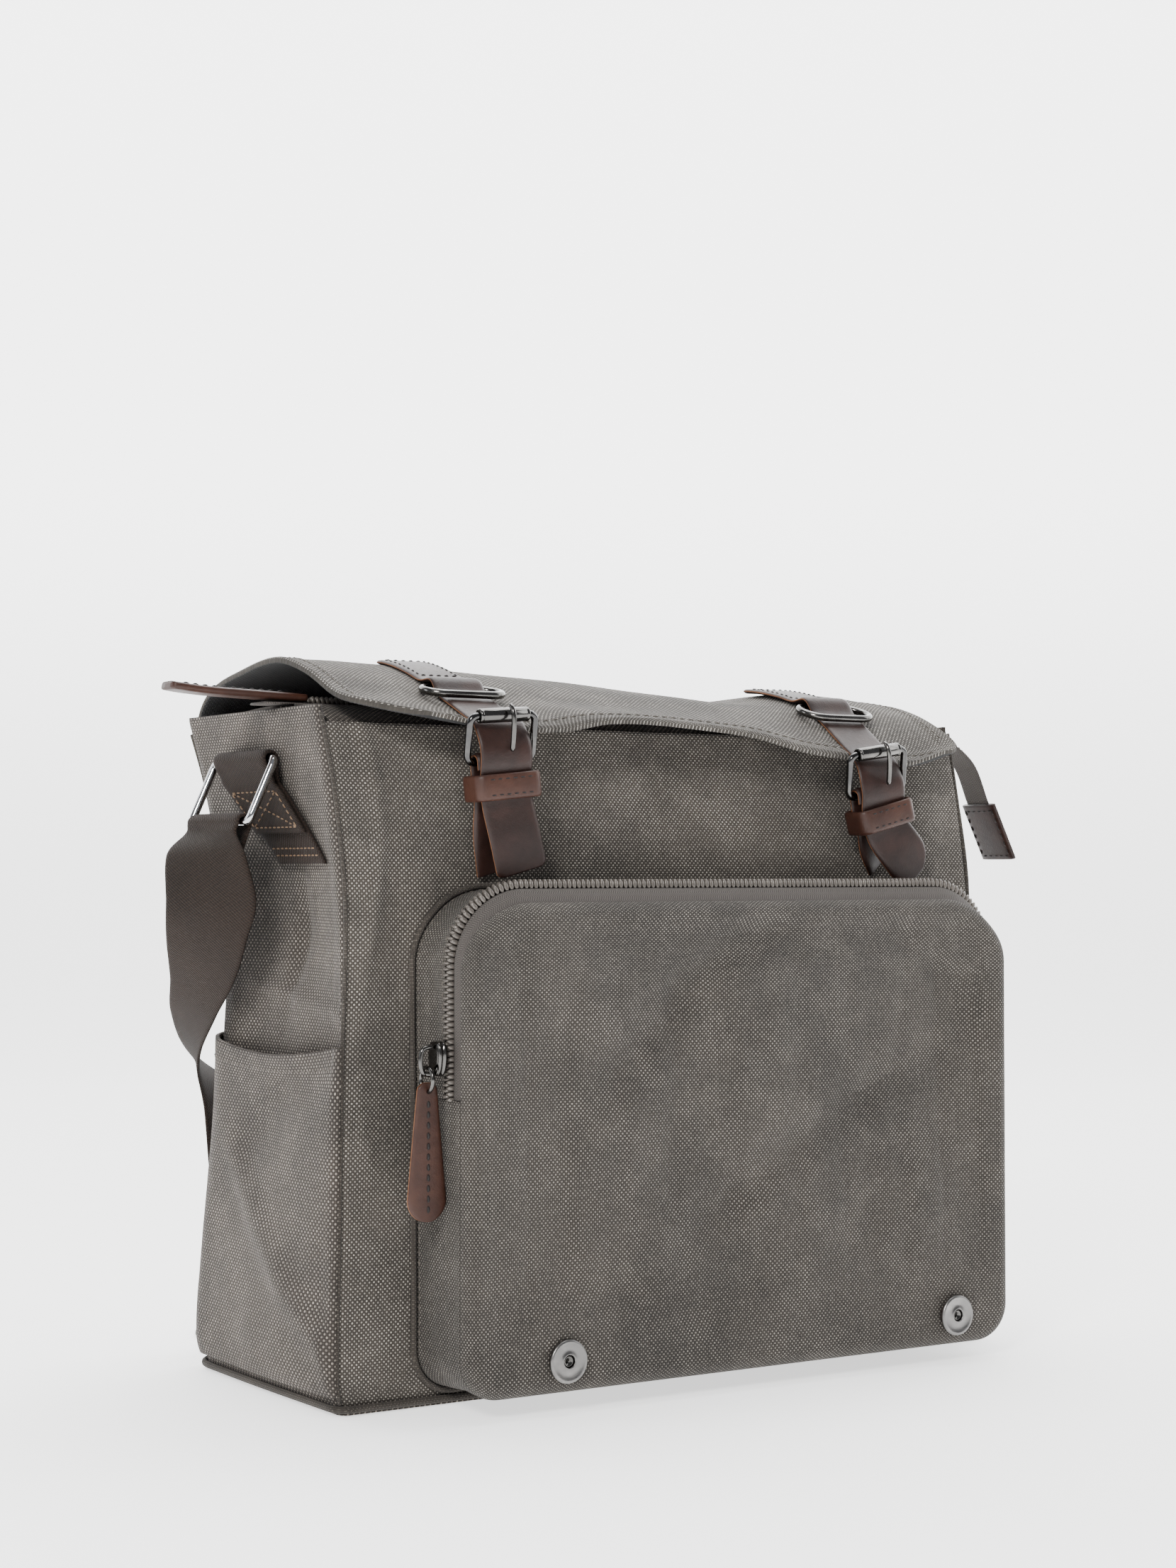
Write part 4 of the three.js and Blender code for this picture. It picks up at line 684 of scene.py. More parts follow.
def wall_share(name, z, distance):
    """The share u of a wall at a distance from its start."""
    _, _, _, length, first, last, _ = wall_frame(name, np.asarray(z, float))
    return (first * math.pi / 4 + distance - first) / ((first + last) * math.pi / 4 + length - first - last)


def front_at(x, z):
    """The depth y of the front panel's outer face."""
    half = section(z)[0]
    return wall_point("front", wall_share("front", z, x + half), z, 0)[..., 1]


def gusset_at(name, y, z, proud):
    """A point of a gusset's outer face, moved out by proud."""
    _, front, back, _, _ = section(z)
    distance = back - y if name == "left" else y - front
    return wall_point(name, wall_share(name, z, distance), z, -proud)


def smooth_shares(count, end=0.04):
    """Shares from 0 to 1, closer together near both ends."""
    t = np.linspace(0, 1, count)
    return t - end * np.sin(2 * math.pi * t)


def body_wall(node, name, columns, rows, top, material):
    """One wall of the body, from just over the base to its top."""
    z = mix(BAG["base"] + GAP, top, np.linspace(0, 1, rows))[:, None]
    u = mix(0.001, 0.999, smooth_shares(columns, 0.07))[None, :]
    outer = wall_point(name, u, z, 0, 1.0)
    inner = wall_point(name, u, z, BAG["wall"], 1.0)
    return cloth(node + "_cloth", outer, 0, material, [node], inner=inner)


def wall_line(name, us, zs, proud, folds=1.0):
    """A line on a wall, and its outward directions."""
    line = wall_point(name, us, zs, -proud, folds)
    return line, unit(wall_point(name, us, zs, -proud - 1, folds) - line)


def corner_seam(name, u, low, high, label):
    """The welt along a corner: a rounded bead over the seam."""
    z = np.linspace(low, high, 90)
    line = wall_point(name, np.full(90, u), z, -0.2)
    away = unit(wall_point(name, np.full(90, u), z, -1.2) - wall_point(name, np.full(90, u), z, -0.2))
    line = line + away * (0.25 + 0.3 * np.sin(z * 0.09)[:, None])
    return tube(label, line, 1.0, BINDING, (), 8, reference=(0, 1, 0))


def base_outline(inset, count=40):
    """The base's outline: its four rounded corners, a quarter circle each."""
    half, front, back, corner, _ = (float(v) for v in section(0.0))
    sharp = BAG["front_corner"]
    a = np.linspace(0, math.pi / 2, count)
    corners = [(-half + sharp, front + sharp, sharp, math.pi),
               (half - sharp, front + sharp, sharp, 1.5 * math.pi),
               (half - corner, back - corner, corner, 0),
               (-half + corner, back - corner, corner, 0.5 * math.pi)]
    return np.concatenate([
        np.stack([x + (r - inset) * np.cos(t + a), y + (r - inset) * np.sin(t + a)], axis=1)
        for x, y, r, t in corners])


def base():
    """The base: rings of its outline drawn in to a middle line, above and below, with softened edges."""
    thick = BAG["base"]
    rings = []
    for inset, z in ((4, 0), (0.7, 0), (0.2, 0.35), (0, 1.0), (0, 1.7), (0.3, 2.2), (1, thick), (4, thick)):
        rings.append(np.column_stack([base_outline(inset), np.full(160, z)]))
    middle = rings[0].copy()
    middle[:, 0] *= 0.9
    middle[:, 1] = middle[:, 1] * 0.05
    low, high = middle.copy(), middle.copy()
    low[:, 2], high[:, 2] = 0, thick
    halfway = mix(rings[0], low, 0.5), mix(rings[-1], high, 0.5)
    shut = low.copy(), high.copy()
    for ring in shut:
        ring[:, 1] = 0
    rings = np.array([shut[0], low, halfway[0], *rings, halfway[1], high, shut[1]])
    faces = facing(rings, grid_faces(len(rings), 160, wrap_columns=True))
    uv = rings.reshape(-1, 3)[:, :2]
    mesh_piece("base_cloth", rings, faces, CANVAS_SIDE_PAINTED_LIGHT, ["base_panel"], uv)


def base_edge():
    """The piping round the foot of the body, one bead over each wall in turn."""
    line = []
    for name, count in (("front", 70), ("right", 36), ("back", 70), ("left", 36)):
        line.append(wall_point(name, smooth_shares(count, 0.1)[1:], 3.0, -1.8))
    tube("base_piping_cord", np.concatenate(line), 1.5, BINDING, ["base_piping"], 10, True)


def side_pocket(side):
    """The slip pocket: the gusset's surface, standing proud by slack times the cube of the height share.

    The result is the row of stitches along its hem.
    """
    node, name = "side_pocket_" + side, side
    lift, height, slack = SIDE_POCKET["lift"], SIDE_POCKET["height"], SIDE_POCKET["slack"]
    share = np.linspace(0, 1, 70)[:, None]
    u = mix(0.001, 0.999, smooth_shares(60, 0.07))[None, :]

    def height_at(u, share):
        return lift + height * share - SIDE_POCKET["sag"] * np.sin(math.pi * u) * ease(0.82, 1, share)

    def surface(extra, u=u, share=share):
        bell = np.sin(math.pi * u)
        proud = SIDE_POCKET["seat"] + slack * share**3 * bell + extra
        soft = wrinkle(u * 2.2, share * 2.6, 21 if side == "left" else 22, 1.5)
        ripple = 1.3 * soft * ease(0, 0.12, share) * bell
        proud = proud + ripple + 0.35 * ease(0.93, 0.945, share) * bell
        return wall_point(name, u, height_at(u, share), -proud, 0.8)

    cloth(node + "_cloth", surface(BAG["wall"]), 0, CANVAS_SIDE_PAINTED_LIGHT, [node], inner=surface(0.0))
    line_u, hem = np.linspace(0.015, 0.985, 200), np.full(200, 0.938)
    line = surface(BAG["wall"] + 0.05, line_u, hem)
    return stitches(line, unit(surface(BAG["wall"] + 1, line_u, hem) - line))


base()
base_edge()
# The front panel and the gussets take canvas copies painted lighter: painted light.
body_wall("front_panel", "front", 220, 150, BAG["height"] - 6, CANVAS_BODY_PAINTED_LIGHT)
body_wall("back_panel", "back", 150, 110, BAG["height"] - 4, CANVAS)
body_wall("gusset_left", "left", 110, 150, BAG["height"] + 1.5, CANVAS_SIDE_PAINTED_LIGHT)
body_wall("gusset_right", "right", 110, 150, BAG["height"] + 1.5, CANVAS_SIDE_PAINTED_LIGHT)
canvas_rows = [side_pocket("left"), side_pocket("right")]
for side in ("left", "right"):
    top = np.full(160, BAG["height"] - 7.5)
    line, away = wall_line(side, np.linspace(0.02, 0.98, 160), top, 0.1)
    canvas_rows.append(stitches(line, away))
corner_seam("front", 0.0, 5, 288, "front_left_seam")
corner_seam("front", 1.0, 5, 288, "front_right_seam")
corner_seam("back", 0.0, 5, 284, "back_right_seam")
corner_seam("back", 1.0, 5, 284, "back_left_seam")


# ---- Flap -------------------------------------------------------------------------------------------------

def flap_half(v, a):
    """Half the flap's width at a length share, less where a corner of the hem is rounded."""
    corner = np.where(a < 0, FLAP["left"], FLAP["right"])
    to_hem = np.minimum((1 - v) * FLAP["length"], corner)
    return FLAP["width"] / 2 - corner + np.sqrt(np.maximum(corner**2 - (corner - to_hem) ** 2, 0))


def flap_surface(u, v, folds=0.0):
    """The flap's outer face: its profile over the bag, lifted by waves of the ridge and of the hem."""
    u, v = np.broadcast_arrays(np.asarray(u, float), np.asarray(v, float))
    a = 2 * u - 1
    over = read(FLAP_PROFILE, 3, v) * (FLAP["thickness"] + GAP)
    y = read(FLAP_PROFILE, 1, v) * BAG["depth"] / 2 + over
    ridge = read(FLAP_WAVES, 1, u) * np.exp(-(((v - 0.56) / 0.22) ** 2))
    hem = read(FLAP_WAVES, 2, u) * ease(0.8, 1, v)
    z = BAG["height"] + FLAP["rise"] * (read(FLAP_PROFILE, 2, v) + ridge + hem)
    if folds:
        fade = ease(0.02, 0.12, v) * (1 - 0.6 * ease(0.9, 1, v))
        z = z + folds * 0.9 * wrinkle(u * 4.2, v * 2.6, 31, 1.5) * fade
    return np.stack([FLAP["shift"] + a * flap_half(v, a), y, z], axis=-1)


def flap_normal(u, v, folds=0.0):
    """The flap's outward direction, smoothed over a hundredth of its width and length."""
    d = 0.01
    across = flap_surface(np.minimum(u + d, 1), v, folds) - flap_surface(np.maximum(u - d, 0), v, folds)
    run = flap_surface(u, np.minimum(v + d, 1), folds) - flap_surface(u, np.maximum(v - d, 0), folds)
    run[..., 0] = 0
    across[..., 1] = 0
    return unit(np.cross(run, across))


def over_flap(x, v, height):
    """A point over the flap at a place x, a length share and a height."""
    a = x - FLAP["shift"]
    u = np.clip((a / flap_half(v, a) + 1) / 2, 0, 1)
    return flap_surface(u, v) + flap_normal(u, v) * np.asarray(height)[..., None]


def flap_cloth():
    """The flap with its double hem, a band that stands proud along its ends and front edge, and its stitches."""
    rows, columns = 190, 230
    v = np.linspace(0, 1, rows)[:, None] ** 0.9
    u = smooth_shares(columns, 0.07)[None, :]
    length, width = FLAP["length"], FLAP["width"]
    surface, normal = flap_surface(u, v, 1.0), flap_normal(u, v)
    edge = np.minimum(np.minimum(u, 1 - u) * width, (1 - v) * length)
    band = 0.55 * (1 - ease(8.0, 9.2, edge)) + 0.22 * (1 - ease(0.0, 1.2, np.abs(edge - 1.2)))
    dimple = -0.3 * np.exp(-((edge - HEM_STITCH) / 0.8) ** 2)
    round_off = 0.7 * (1 - np.sqrt(np.clip(1 - (1 - np.clip(edge / 1.3, 0, 1)) ** 2, 0, 1)))
    outer = surface + normal * (band + dimple - round_off)[..., None]
    inner = surface - normal * (FLAP["thickness"] - round_off * 0.6)[..., None]
    # The flap's top takes the canvas copy painted lighter: painted light.
    piece = cloth("flap_cloth", outer, 0, CANVAS_TOP_PAINTED_LIGHT, ["flap"], inner=inner)
    piece.data.materials.append(LINING)
    quads = (rows - 1) * (columns - 1)
    index = np.zeros(len(piece.data.polygons), dtype=np.int32)
    index[quads:2 * quads] = 1
    piece.data.polygons.foreach_set("material_index", index)
    aside, ahead = HEM_STITCH / width, 1 - HEM_STITCH / length
    stitched = []
    for u_from, u_to, v_from, v_to, count, lift in (
            (aside, aside, 0.02, 0.87, 160, 0.45), (1 - aside, 1 - aside, 0.02, 0.93, 160, 0.45),
            (0.075, 0.955, ahead, ahead, 300, 0.45), (0.02, 0.98, 0.008, 0.008, 300, 0.1),
            (0.02, 0.98, 0.03, 0.03, 300, 0.1)):
        us, vs = np.linspace(u_from, u_to, count), np.linspace(v_from, v_to, count)
        n = flap_normal(us, vs)
        stitched.append(stitches(flap_surface(us, vs, 1.0) + n * lift, n))
    return stitched


# ---- Closure and main zip ---------------------------------------------------------------------------------

def closure_strip(node, y_from, y_to, tilt):
    """Canvas from a wall's top edge to the main zip, and its row of stitches beside the zip."""
    x = np.linspace(-1, 1, 90)[:, None] * (BAG["width"] / 2 - 7)
    share = np.linspace(0, 1, 16)[None, :]
    z = ZIP_LEVEL - tilt * (1 - share) ** 2 + 0 * x
    ripple = 0.35 * wrinkle(x / 40, share * 2, 41, 1.4) * np.sin(math.pi * share)
    outer = np.stack([x + 0 * share, mix(y_from, y_to, share) + 0 * x, z + np.minimum(ripple, 0.3)], axis=-1)
    inner = outer - [0, 0, BAG["wall"]]
    cloth(node + "_cloth", outer, 0, CANVAS_SIDE_PAINTED_LIGHT, [node], inner=inner)
    beside = y_to - 2.2 * np.sign(y_to - y_from)
    line = np.stack([x[:, 0], np.full(90, beside), z[:, 12] + 0.12 + ripple[:, 13]], axis=1)
    return stitches(line, np.broadcast_to([0, 0, 1.0], line.shape))


def zip_run(start, end, height, count):
    """The main zip's line: level over the bag, then drooping past its right end."""
    half, reach, drop = BAG["width"] / 2, 55.0, 38.0
    line = [(-half - 6, ZIP_Y, ZIP_LEVEL), (-half * 0.5, ZIP_Y, ZIP_LEVEL), (half * 0.5, ZIP_Y, ZIP_LEVEL),
            (half, ZIP_Y, ZIP_LEVEL), (half + reach * 0.45, ZIP_Y - 1, ZIP_LEVEL - drop * 0.12),
            (half + reach * 0.82, ZIP_Y - 2, ZIP_LEVEL - drop * 0.45), (half + reach, ZIP_Y - 3, ZIP_LEVEL - drop)]
    fine = catmull(line, 1201)
    at = np.linspace(start, end, count) * 1200
    p = read_line(at, np.arange(1201), fine)
    along = unit(np.gradient(p, axis=0))
    up = unit(np.stack([-along[:, 2], 0 * at, along[:, 0]], axis=1))
    return p + up * height, up, along


def flat_bar(name, p, up, side, half, thick, material, nodes):
    """A flat strip: a rounded-edged section (superellipse) carried along a line."""
    a = np.linspace(0, 2 * math.pi, 25)[:-1]
    cx = np.sign(np.cos(a)) * np.abs(np.cos(a)) ** 0.35
    cz = np.sign(np.sin(a)) * np.abs(np.sin(a)) ** 0.7
    half = np.broadcast_to(half, (len(p),))[:, None, None]
    rings = (p[:, None] + side[:, None] * half * cx[None, :, None]
             + up[:, None] * (cz * thick / 2)[None, :, None])

    def shut(ring):
        """A ring drawn in to a third, and the same ring drawn in to its middle."""
        middle = ring.mean(axis=1, keepdims=True)
        return ring * 0.35 + middle * 0.65, middle.repeat(24, 1)

    (near_start, start), (near_end, end) = shut(rings[:1]), shut(rings[-1:])
    rings = np.concatenate([start, near_start, rings, near_end, end])
    faces = facing(rings, grid_faces(len(rings), 24, wrap_columns=True))
    run = np.pad(run_along(p), 2, mode="edge")
    uv = np.stack(np.broadcast_arrays(half[0, 0, 0] * cx[None, :], run[:, None]), axis=-1)
    return mesh_piece(name, rings, faces, material, nodes, uv)


def teeth_row(p, up, side, pitch, half, high):
    """A closed zip's chain: rounded bars across it, one every pitch, each side set half a pitch on."""
    run = run_along(p)
    count = int(run[-1] / pitch)
    shares = np.array([-0.28, -0.15, 0.25, 0.62, 0.95, 1.0])
    lifts = np.array([0.0, 0.55, 0.9, 1.0, 0.7, 0.15])
    width = np.array([0.1, 0.38, 0.30, 0.40, 0.42, 0.2]) * pitch
    a = np.linspace(0, 2 * math.pi, 8, endpoint=False)
    parts = []
    for sign, shift in ((1, 0.0), (-1, 0.5)):
        at = (np.arange(count) + shift) * pitch
        middle, n, s = (read_line(at, run, v) for v in (p, up, side))
        n, s = unit(n), unit(s)
        along = unit(np.cross(n, s))
        centre = (middle[:, None] + s[:, None] * (sign * shares * half)[None, :, None]
                  + n[:, None] * (lifts * high * 0.5)[None, :, None])
        rings = (centre[:, :, None] + along[:, None, None] * (width[:, None] * np.cos(a))[None, :, :, None]
                 + n[:, None, None] * ((0.15 + 0.42 * lifts)[:, None] * high * np.sin(a))[None, :, :, None])
        tip = rings.mean(axis=2, keepdims=True).repeat(8, 2)
        rings = np.concatenate([tip[:, :1], rings, tip[:, -1:]], axis=1)
        faces = facing(rings[0], grid_faces(8, 8, wrap_columns=True))
        parts.append((rings.reshape(-1, 3), (faces[None] + 64 * np.arange(count)[:, None, None]).reshape(-1, 4)))
    return joined(parts)


def main_zip():
    """Tape with its rows of thread, the chain on it, and the leather tabs at both ends."""
    across = np.array([0, 1.0, 0])
    p, up, _ = zip_run(0, 1, 0, 150)
    side = np.broadcast_to(across, p.shape)
    flat_bar("main_zip_cloth", p, up, side, ZIP_WIDTH / 2, 1.2, TAPE, ["main_zip_tape"])
    p, up, _ = zip_run(0.045, 0.97, 0.75, 300)
    points, faces = teeth_row(p, up, np.broadcast_to(across, p.shape), 2.3, 3.0, 3.0)
    mesh_piece("main_zip_chain", points, faces, TEETH, ["main_zip_coil"], merge_uv(points))
    half, thick = BAG["width"] / 2, 3.6
    share = np.linspace(0, 1, 50)
    x = -half + 14 - 62 * share
    bottom = ZIP_LEVEL + 0.6 + GAP + thick / 2
    p = np.stack([x, np.full(50, ZIP_Y), bottom + 4 * share**2 + 0.5 * np.sin(share * 5)], axis=1)
    up = unit(np.cross(np.gradient(p, axis=0), -across))
    up = up * np.sign(up[:, 2:3])
    wide = 15 / 2 - 1.4 * np.clip((share - 0.9) / 0.1, 0, 1) ** 2
    flat_bar("zip_tab_left_leather", p, up, np.broadcast_to(across, p.shape), wide, thick, LEATHER_BROWN,
             ["main_zip_tab_left"])
    rows = []
    for sign in (-1, 1):
        line = p[8:-3] + [0, sign * 5.2, 0] + up[8:-3] * (thick / 2 + 0.05)
        rows.append(stitches(line, up[8:-3], 3.0, 1.2))
    end, up, along = zip_run(0.99, 1, 0, 3)
    share = np.linspace(0, 1, 30)[:, None]
    p = end[-1] + along[-1] * (GAP + 30 * share)
    up = np.broadcast_to(up[-1], p.shape)
    # The right tab takes the dark leather where the left one takes the brown: partly its own colour, partly painted
    # shade where it hangs.
    flat_bar("zip_tab_right_leather", p, up, np.broadcast_to(across, p.shape), 12.0, 3.2, LEATHER,
             ["main_zip_tab_right"])
    for sign in (-1, 1):
        for offset in (-10, 10):
            line = p[2:-2] + across * offset + up[2:-2] * sign * 1.65
            rows.append(stitches(line, up[2:-2] * sign, 2.6, 1.2))
        for place in (3, 27):
            line = p[place] + np.linspace(-10, 10, 20)[:, None] * across + up[0] * sign * 1.65
            rows.append(stitches(line, np.broadcast_to(up[0] * sign, line.shape), 2.6, 1.2))
    return rows


canvas_rows += flap_cloth()
top_front, top_back = (float(v) for v in section(BAG["height"])[1:3])
canvas_rows.append(closure_strip("closure_front", top_front + BAG["wall"] + GAP,
                                 ZIP_Y - ZIP_WIDTH / 2 - GAP, 10.0))
canvas_rows.append(closure_strip("closure_back", top_back - BAG["wall"] - GAP,
                                 ZIP_Y + ZIP_WIDTH / 2 + GAP, 5.0))
leather_rows = main_zip()


# ---- Front pocket -----------------------------------------------------------------------------------------

def pocket_outline(count):
    """The pocket's outline: the run along it, its whole length, its points and its outward directions.

    It starts at the middle of the foot and goes over the left side; lines and corner arcs take turns.
    """
    hw, hh, r, low = POCKET["width"] / 2, POCKET["height"] / 2, POCKET["corner"], POCKET["low_corner"]
    foot, head, tall = hw - low, hw - r, 2 * hh - r - low
    arc, low_arc = math.pi * r / 2, math.pi * low / 2
    legs = [foot, low_arc, tall, arc, 2 * head, arc, tall, low_arc, foot]
    total = sum(legs)
    run = np.linspace(0, total, count)
    x, z, nx, nz = (np.zeros(count) for _ in range(4))
    corners = [(-foot, low - hh, 1.5, low), (-head, hh - r, 1.0, r), (head, hh - r, 0.5, r),
               (foot, low - hh, 0.0, low)]
    starts = np.concatenate([[0], np.cumsum(legs)])
    lines = [(0, -hh, -1, 0, 0, -1), (-hw, low - hh, 0, 1, -1, 0), (-head, hh, 1, 0, 0, 1),
             (hw, hh - r, 0, -1, 1, 0), (foot, -hh, -1, 0, 0, -1)]
    for k in range(len(legs)):
        m = (run >= starts[k] - 1e-6) & (run <= starts[k + 1] + 1e-6)
        t = run[m] - starts[k]
        if k % 2 == 0:
            x0, z0, dx, dz, out_x, out_z = lines[k // 2]
            x[m], z[m], nx[m], nz[m] = x0 + dx * t, z0 + dz * t, out_x, out_z
        else:
            cx, cz, turn, bend = corners[k // 2]
            a = turn * math.pi - t / bend
            nx[m], nz[m] = np.cos(a), np.sin(a)
            x[m], z[m] = cx + bend * nx[m], cz + bend * nz[m]
    return run, total, np.stack([x + POCKET_X, z + POCKET_Z], 1), np.stack([nx, nz], 1)


RUN, TOTAL, OUTLINE, OUT = pocket_outline(4001)
FOOT_LEG = POCKET["width"] / 2 - POCKET["low_corner"] + math.pi * POCKET["low_corner"] / 2
ZIP_FROM = FOOT_LEG + ZIP_LEFT_END - POCKET["lift"] - POCKET["low_corner"]
ZIP_TO = TOTAL - (FOOT_LEG + ZIP_RIGHT_END - POCKET["lift"] - POCKET["low_corner"])


def pocket_at(run, y, inset, rear=0.0):
    """Points of the pocket's side at a run, a depth and an inset, and their outward directions.

    Towards the rear, where rear is 1, the top sags a little.
    """
    run = np.asarray(run) % TOTAL
    x, z, nx, nz = (np.interp(run, RUN, a) for a in (OUTLINE[:, 0], OUTLINE[:, 1], OUT[:, 0], OUT[:, 1]))
    x, z = x - nx * inset, z - nz * inset - POCKET["sag"] * np.maximum(nz, 0) * rear
    return np.stack([x, np.broadcast_to(y, x.shape), z], axis=-1), np.stack([nx, 0 * nx, nz], axis=-1)


def pocket_strip(node, start, end, y_front, material, seed):
    """A side strip of the pocket from the front panel to a depth, sagging and creasing softly between."""
    run = np.linspace(start + 0.15, end - 0.15, 420)
    share = np.linspace(0, 1, 36)
    rim, _ = pocket_at(run, 0, 0, 1.0)
    y_rear = front_at(rim[:, 0], rim[:, 2]) - GAP
    grids = []
    for inset in (0.0, BAG["wall"]):
        rows = []
        for s in share:
            slack = 0.8 * wrinkle(run / 30, np.full_like(run, s * 2.2), seed, 1.6) * math.sin(math.pi * s)
            dish = 0.7 * math.sin(math.pi * s)
            p, _ = pocket_at(run, 0, inset + dish + slack, 1 - float(ease(0, 1, s)))
            p[:, 1] = mix(y_rear, y_front, s)
            rows.append(p)
        grids.append(np.array(rows))
    return cloth(node + "_cloth", grids[0], 0, material, [node], inner=grids[1])


def slope_top(points):
    """The pocket's top drawn down in front of its zip: lower by 8 mm at its front edge, fading back to the zip."""
    points = np.array(points, float)
    forward = np.clip((COIL_Y - 1.5 - points[..., 1]) / (COIL_Y - 1.5 - POCKET_FRONT - POCKET["edge"]), 0, 1)
    points[..., 2] -= 8.0 * forward * ease(165, 214, points[..., 2])
    return points


# place across, lean, width, foot, head and depth of the pocket face's upright folds
UPRIGHT_FOLDS = (
    (0.055, 0.012, 0.010, 0.05, 0.75, 0.9), (0.10, -0.02, 0.012, 0.15, 0.95, 0.8),
    (0.17, 0.03, 0.016, 0.1, 0.9, 0.8), (0.25, -0.02, 0.02, 0.2, 0.9, 0.7),
    (0.36, 0.015, 0.016, 0.3, 0.95, 0.8), (0.46, -0.02, 0.02, 0.15, 0.85, 0.7),
    (0.58, 0.01, 0.018, 0.25, 0.9, 0.8), (0.68, -0.015, 0.014, 0.15, 0.8, 0.8),
    (0.79, 0.02, 0.016, 0.1, 0.95, 0.8), (0.87, -0.01, 0.012, 0.2, 0.9, 0.9),
    (0.94, 0.01, 0.010, 0.1, 0.8, 0.9))


def face_folds(x, z):
    """The pocket face's soft upright folds, from the seam down, in millimetres inwards."""
    u = (x - POCKET_X) / POCKET["width"] + 0.5
    at = (z - POCKET["lift"]) / POCKET["height"]
    fade = ease(0, 0.1, u) * ease(0, 0.1, 1 - u) * ease(0.0, 0.2, at) * ease(0, 0.08, 1 - at)
    upright = 0.0
    for u0, lean, wide, low, high, depth in UPRIGHT_FOLDS:
        aside = u - u0 - lean * (at - 0.5) - 0.006 * np.sin(at * 7 + u0 * 40)
        ends = ease(low - 0.12, low + 0.15, at) * ease(low - 0.12, low + 0.15, high + low - at)
        upright = upright + depth * np.exp(-((aside / wide) ** 2)) * ends
    bow = wrinkle(u * 3.4 + at * 0.8, at * 2.6 - u * 0.5, 51, 1.4) + 0.5 * wrinkle(u * 8, at * 7, 52, 1.6)
    hollow = 1.6 * np.exp(-((at - 0.8 + 0.22 * np.sin(u * 6.5 + 0.6)) / 0.07) ** 2) * ease(0.1, 0.35, u)
    slant = 1.5 * np.exp(-((at - 0.42 - 0.75 * (u - 0.55)) / 0.05) ** 2)
    slant = slant * ease(0.35, 0.5, u) * ease(0.1, 0.3, 1 - u)
    fallen = 1.3 * np.exp(-((at - 0.2 + 0.45 * (u - 0.25)) / 0.045) ** 2)
    fallen = fallen * ease(0.05, 0.2, u) * ease(0.4, 0.6, 1 - u)
    return (0.8 * upright + 3.6 * bow + 2.8 + 2.2 * (hollow + slant + fallen)) * fade


def rim_turn(x, z, inset=0.0):
    """Depth of the pocket's quarter-round edge, which is nothing further in."""
    edge = POCKET["edge"] - inset
    corner = np.where(z < POCKET_Z, POCKET["low_corner"], POCKET["corner"])
    r = corner - inset
    qx = np.abs(x - POCKET_X) - (POCKET["width"] / 2 - corner)
    qz = np.abs(z - POCKET_Z) - (POCKET["height"] / 2 - corner)
    inside = r - np.hypot(np.maximum(qx, 0), np.maximum(qz, 0)) - np.minimum(np.maximum(qx, qz), 0)
    inside = np.clip(inside, 0, edge)
    return edge - np.sqrt(np.maximum(edge**2 - (edge - inside) ** 2, 0))


def pocket_face_y(x, z, inset=0.0):
    """Depth behind the pocket's front plane: the rounded edge, the dents and the folds."""
    u = (x - POCKET_X) / POCKET["width"] + 0.5
    at = (z - POCKET["lift"]) / POCKET["height"]
    fade = ease(0, 0.14, u) * ease(0, 0.14, 1 - u) * ease(0.12, 0.3, at) * ease(0, 0.1, 1 - at)
    return rim_turn(x, z, inset) + dents_at(POCKET_DENTS, u, at) * fade + face_folds(x, z)


def rim_direction(at):
    """The way out to the nearest rim of the pocket, so that the weave runs on over the rounded edge."""
    offset = at - np.array([POCKET_X, POCKET_Z])
    corner = np.where(offset[..., 1:] < 0, POCKET["low_corner"], POCKET["corner"])
    past = np.abs(offset) - (np.array([POCKET["width"], POCKET["height"]]) / 2 - corner)
    both = np.maximum(past, 0) + 1e-6 * (past == past.max(axis=-1, keepdims=True))
    return unit(both) * np.sign(offset)


def pocket_face():
    """The face: rows by height and columns by share of the width there, both closer near the rim."""
    grids = []
    for inset in (0.0, BAG["wall"]):
        b = np.sin((np.linspace(0, 1, 190) - 0.5) * math.pi)[:, None]
        a = np.sin((np.linspace(0, 1, 250) - 0.5) * math.pi)[None, :]
        hh = POCKET["height"] / 2 - inset
        z = b * hh
        r = np.where(z < 0, POCKET["low_corner"], POCKET["corner"]) - inset
        past = np.maximum(np.abs(z) - (hh - r), 0)
        half = POCKET["width"] / 2 - inset - r + np.sqrt(np.maximum(r**2 - past**2, 0))
        x = POCKET_X + a * half
        z = POCKET_Z + z + 0 * x
        y = POCKET_FRONT + inset + pocket_face_y(x, z, inset)
        grids.append(np.stack([x, y, z], axis=-1))
    uv = np.stack([grids[0][..., 0], grids[0][..., 2]], axis=-1)
    uv = uv + rim_direction(uv) * rim_turn(uv[..., 0], uv[..., 1])[..., None]
    grids = [slope_top(grid) for grid in grids]
    cloth("pocket_face_cloth", grids[0], 0, CANVAS, ["pocket_face"], inner=grids[1], uv=uv)


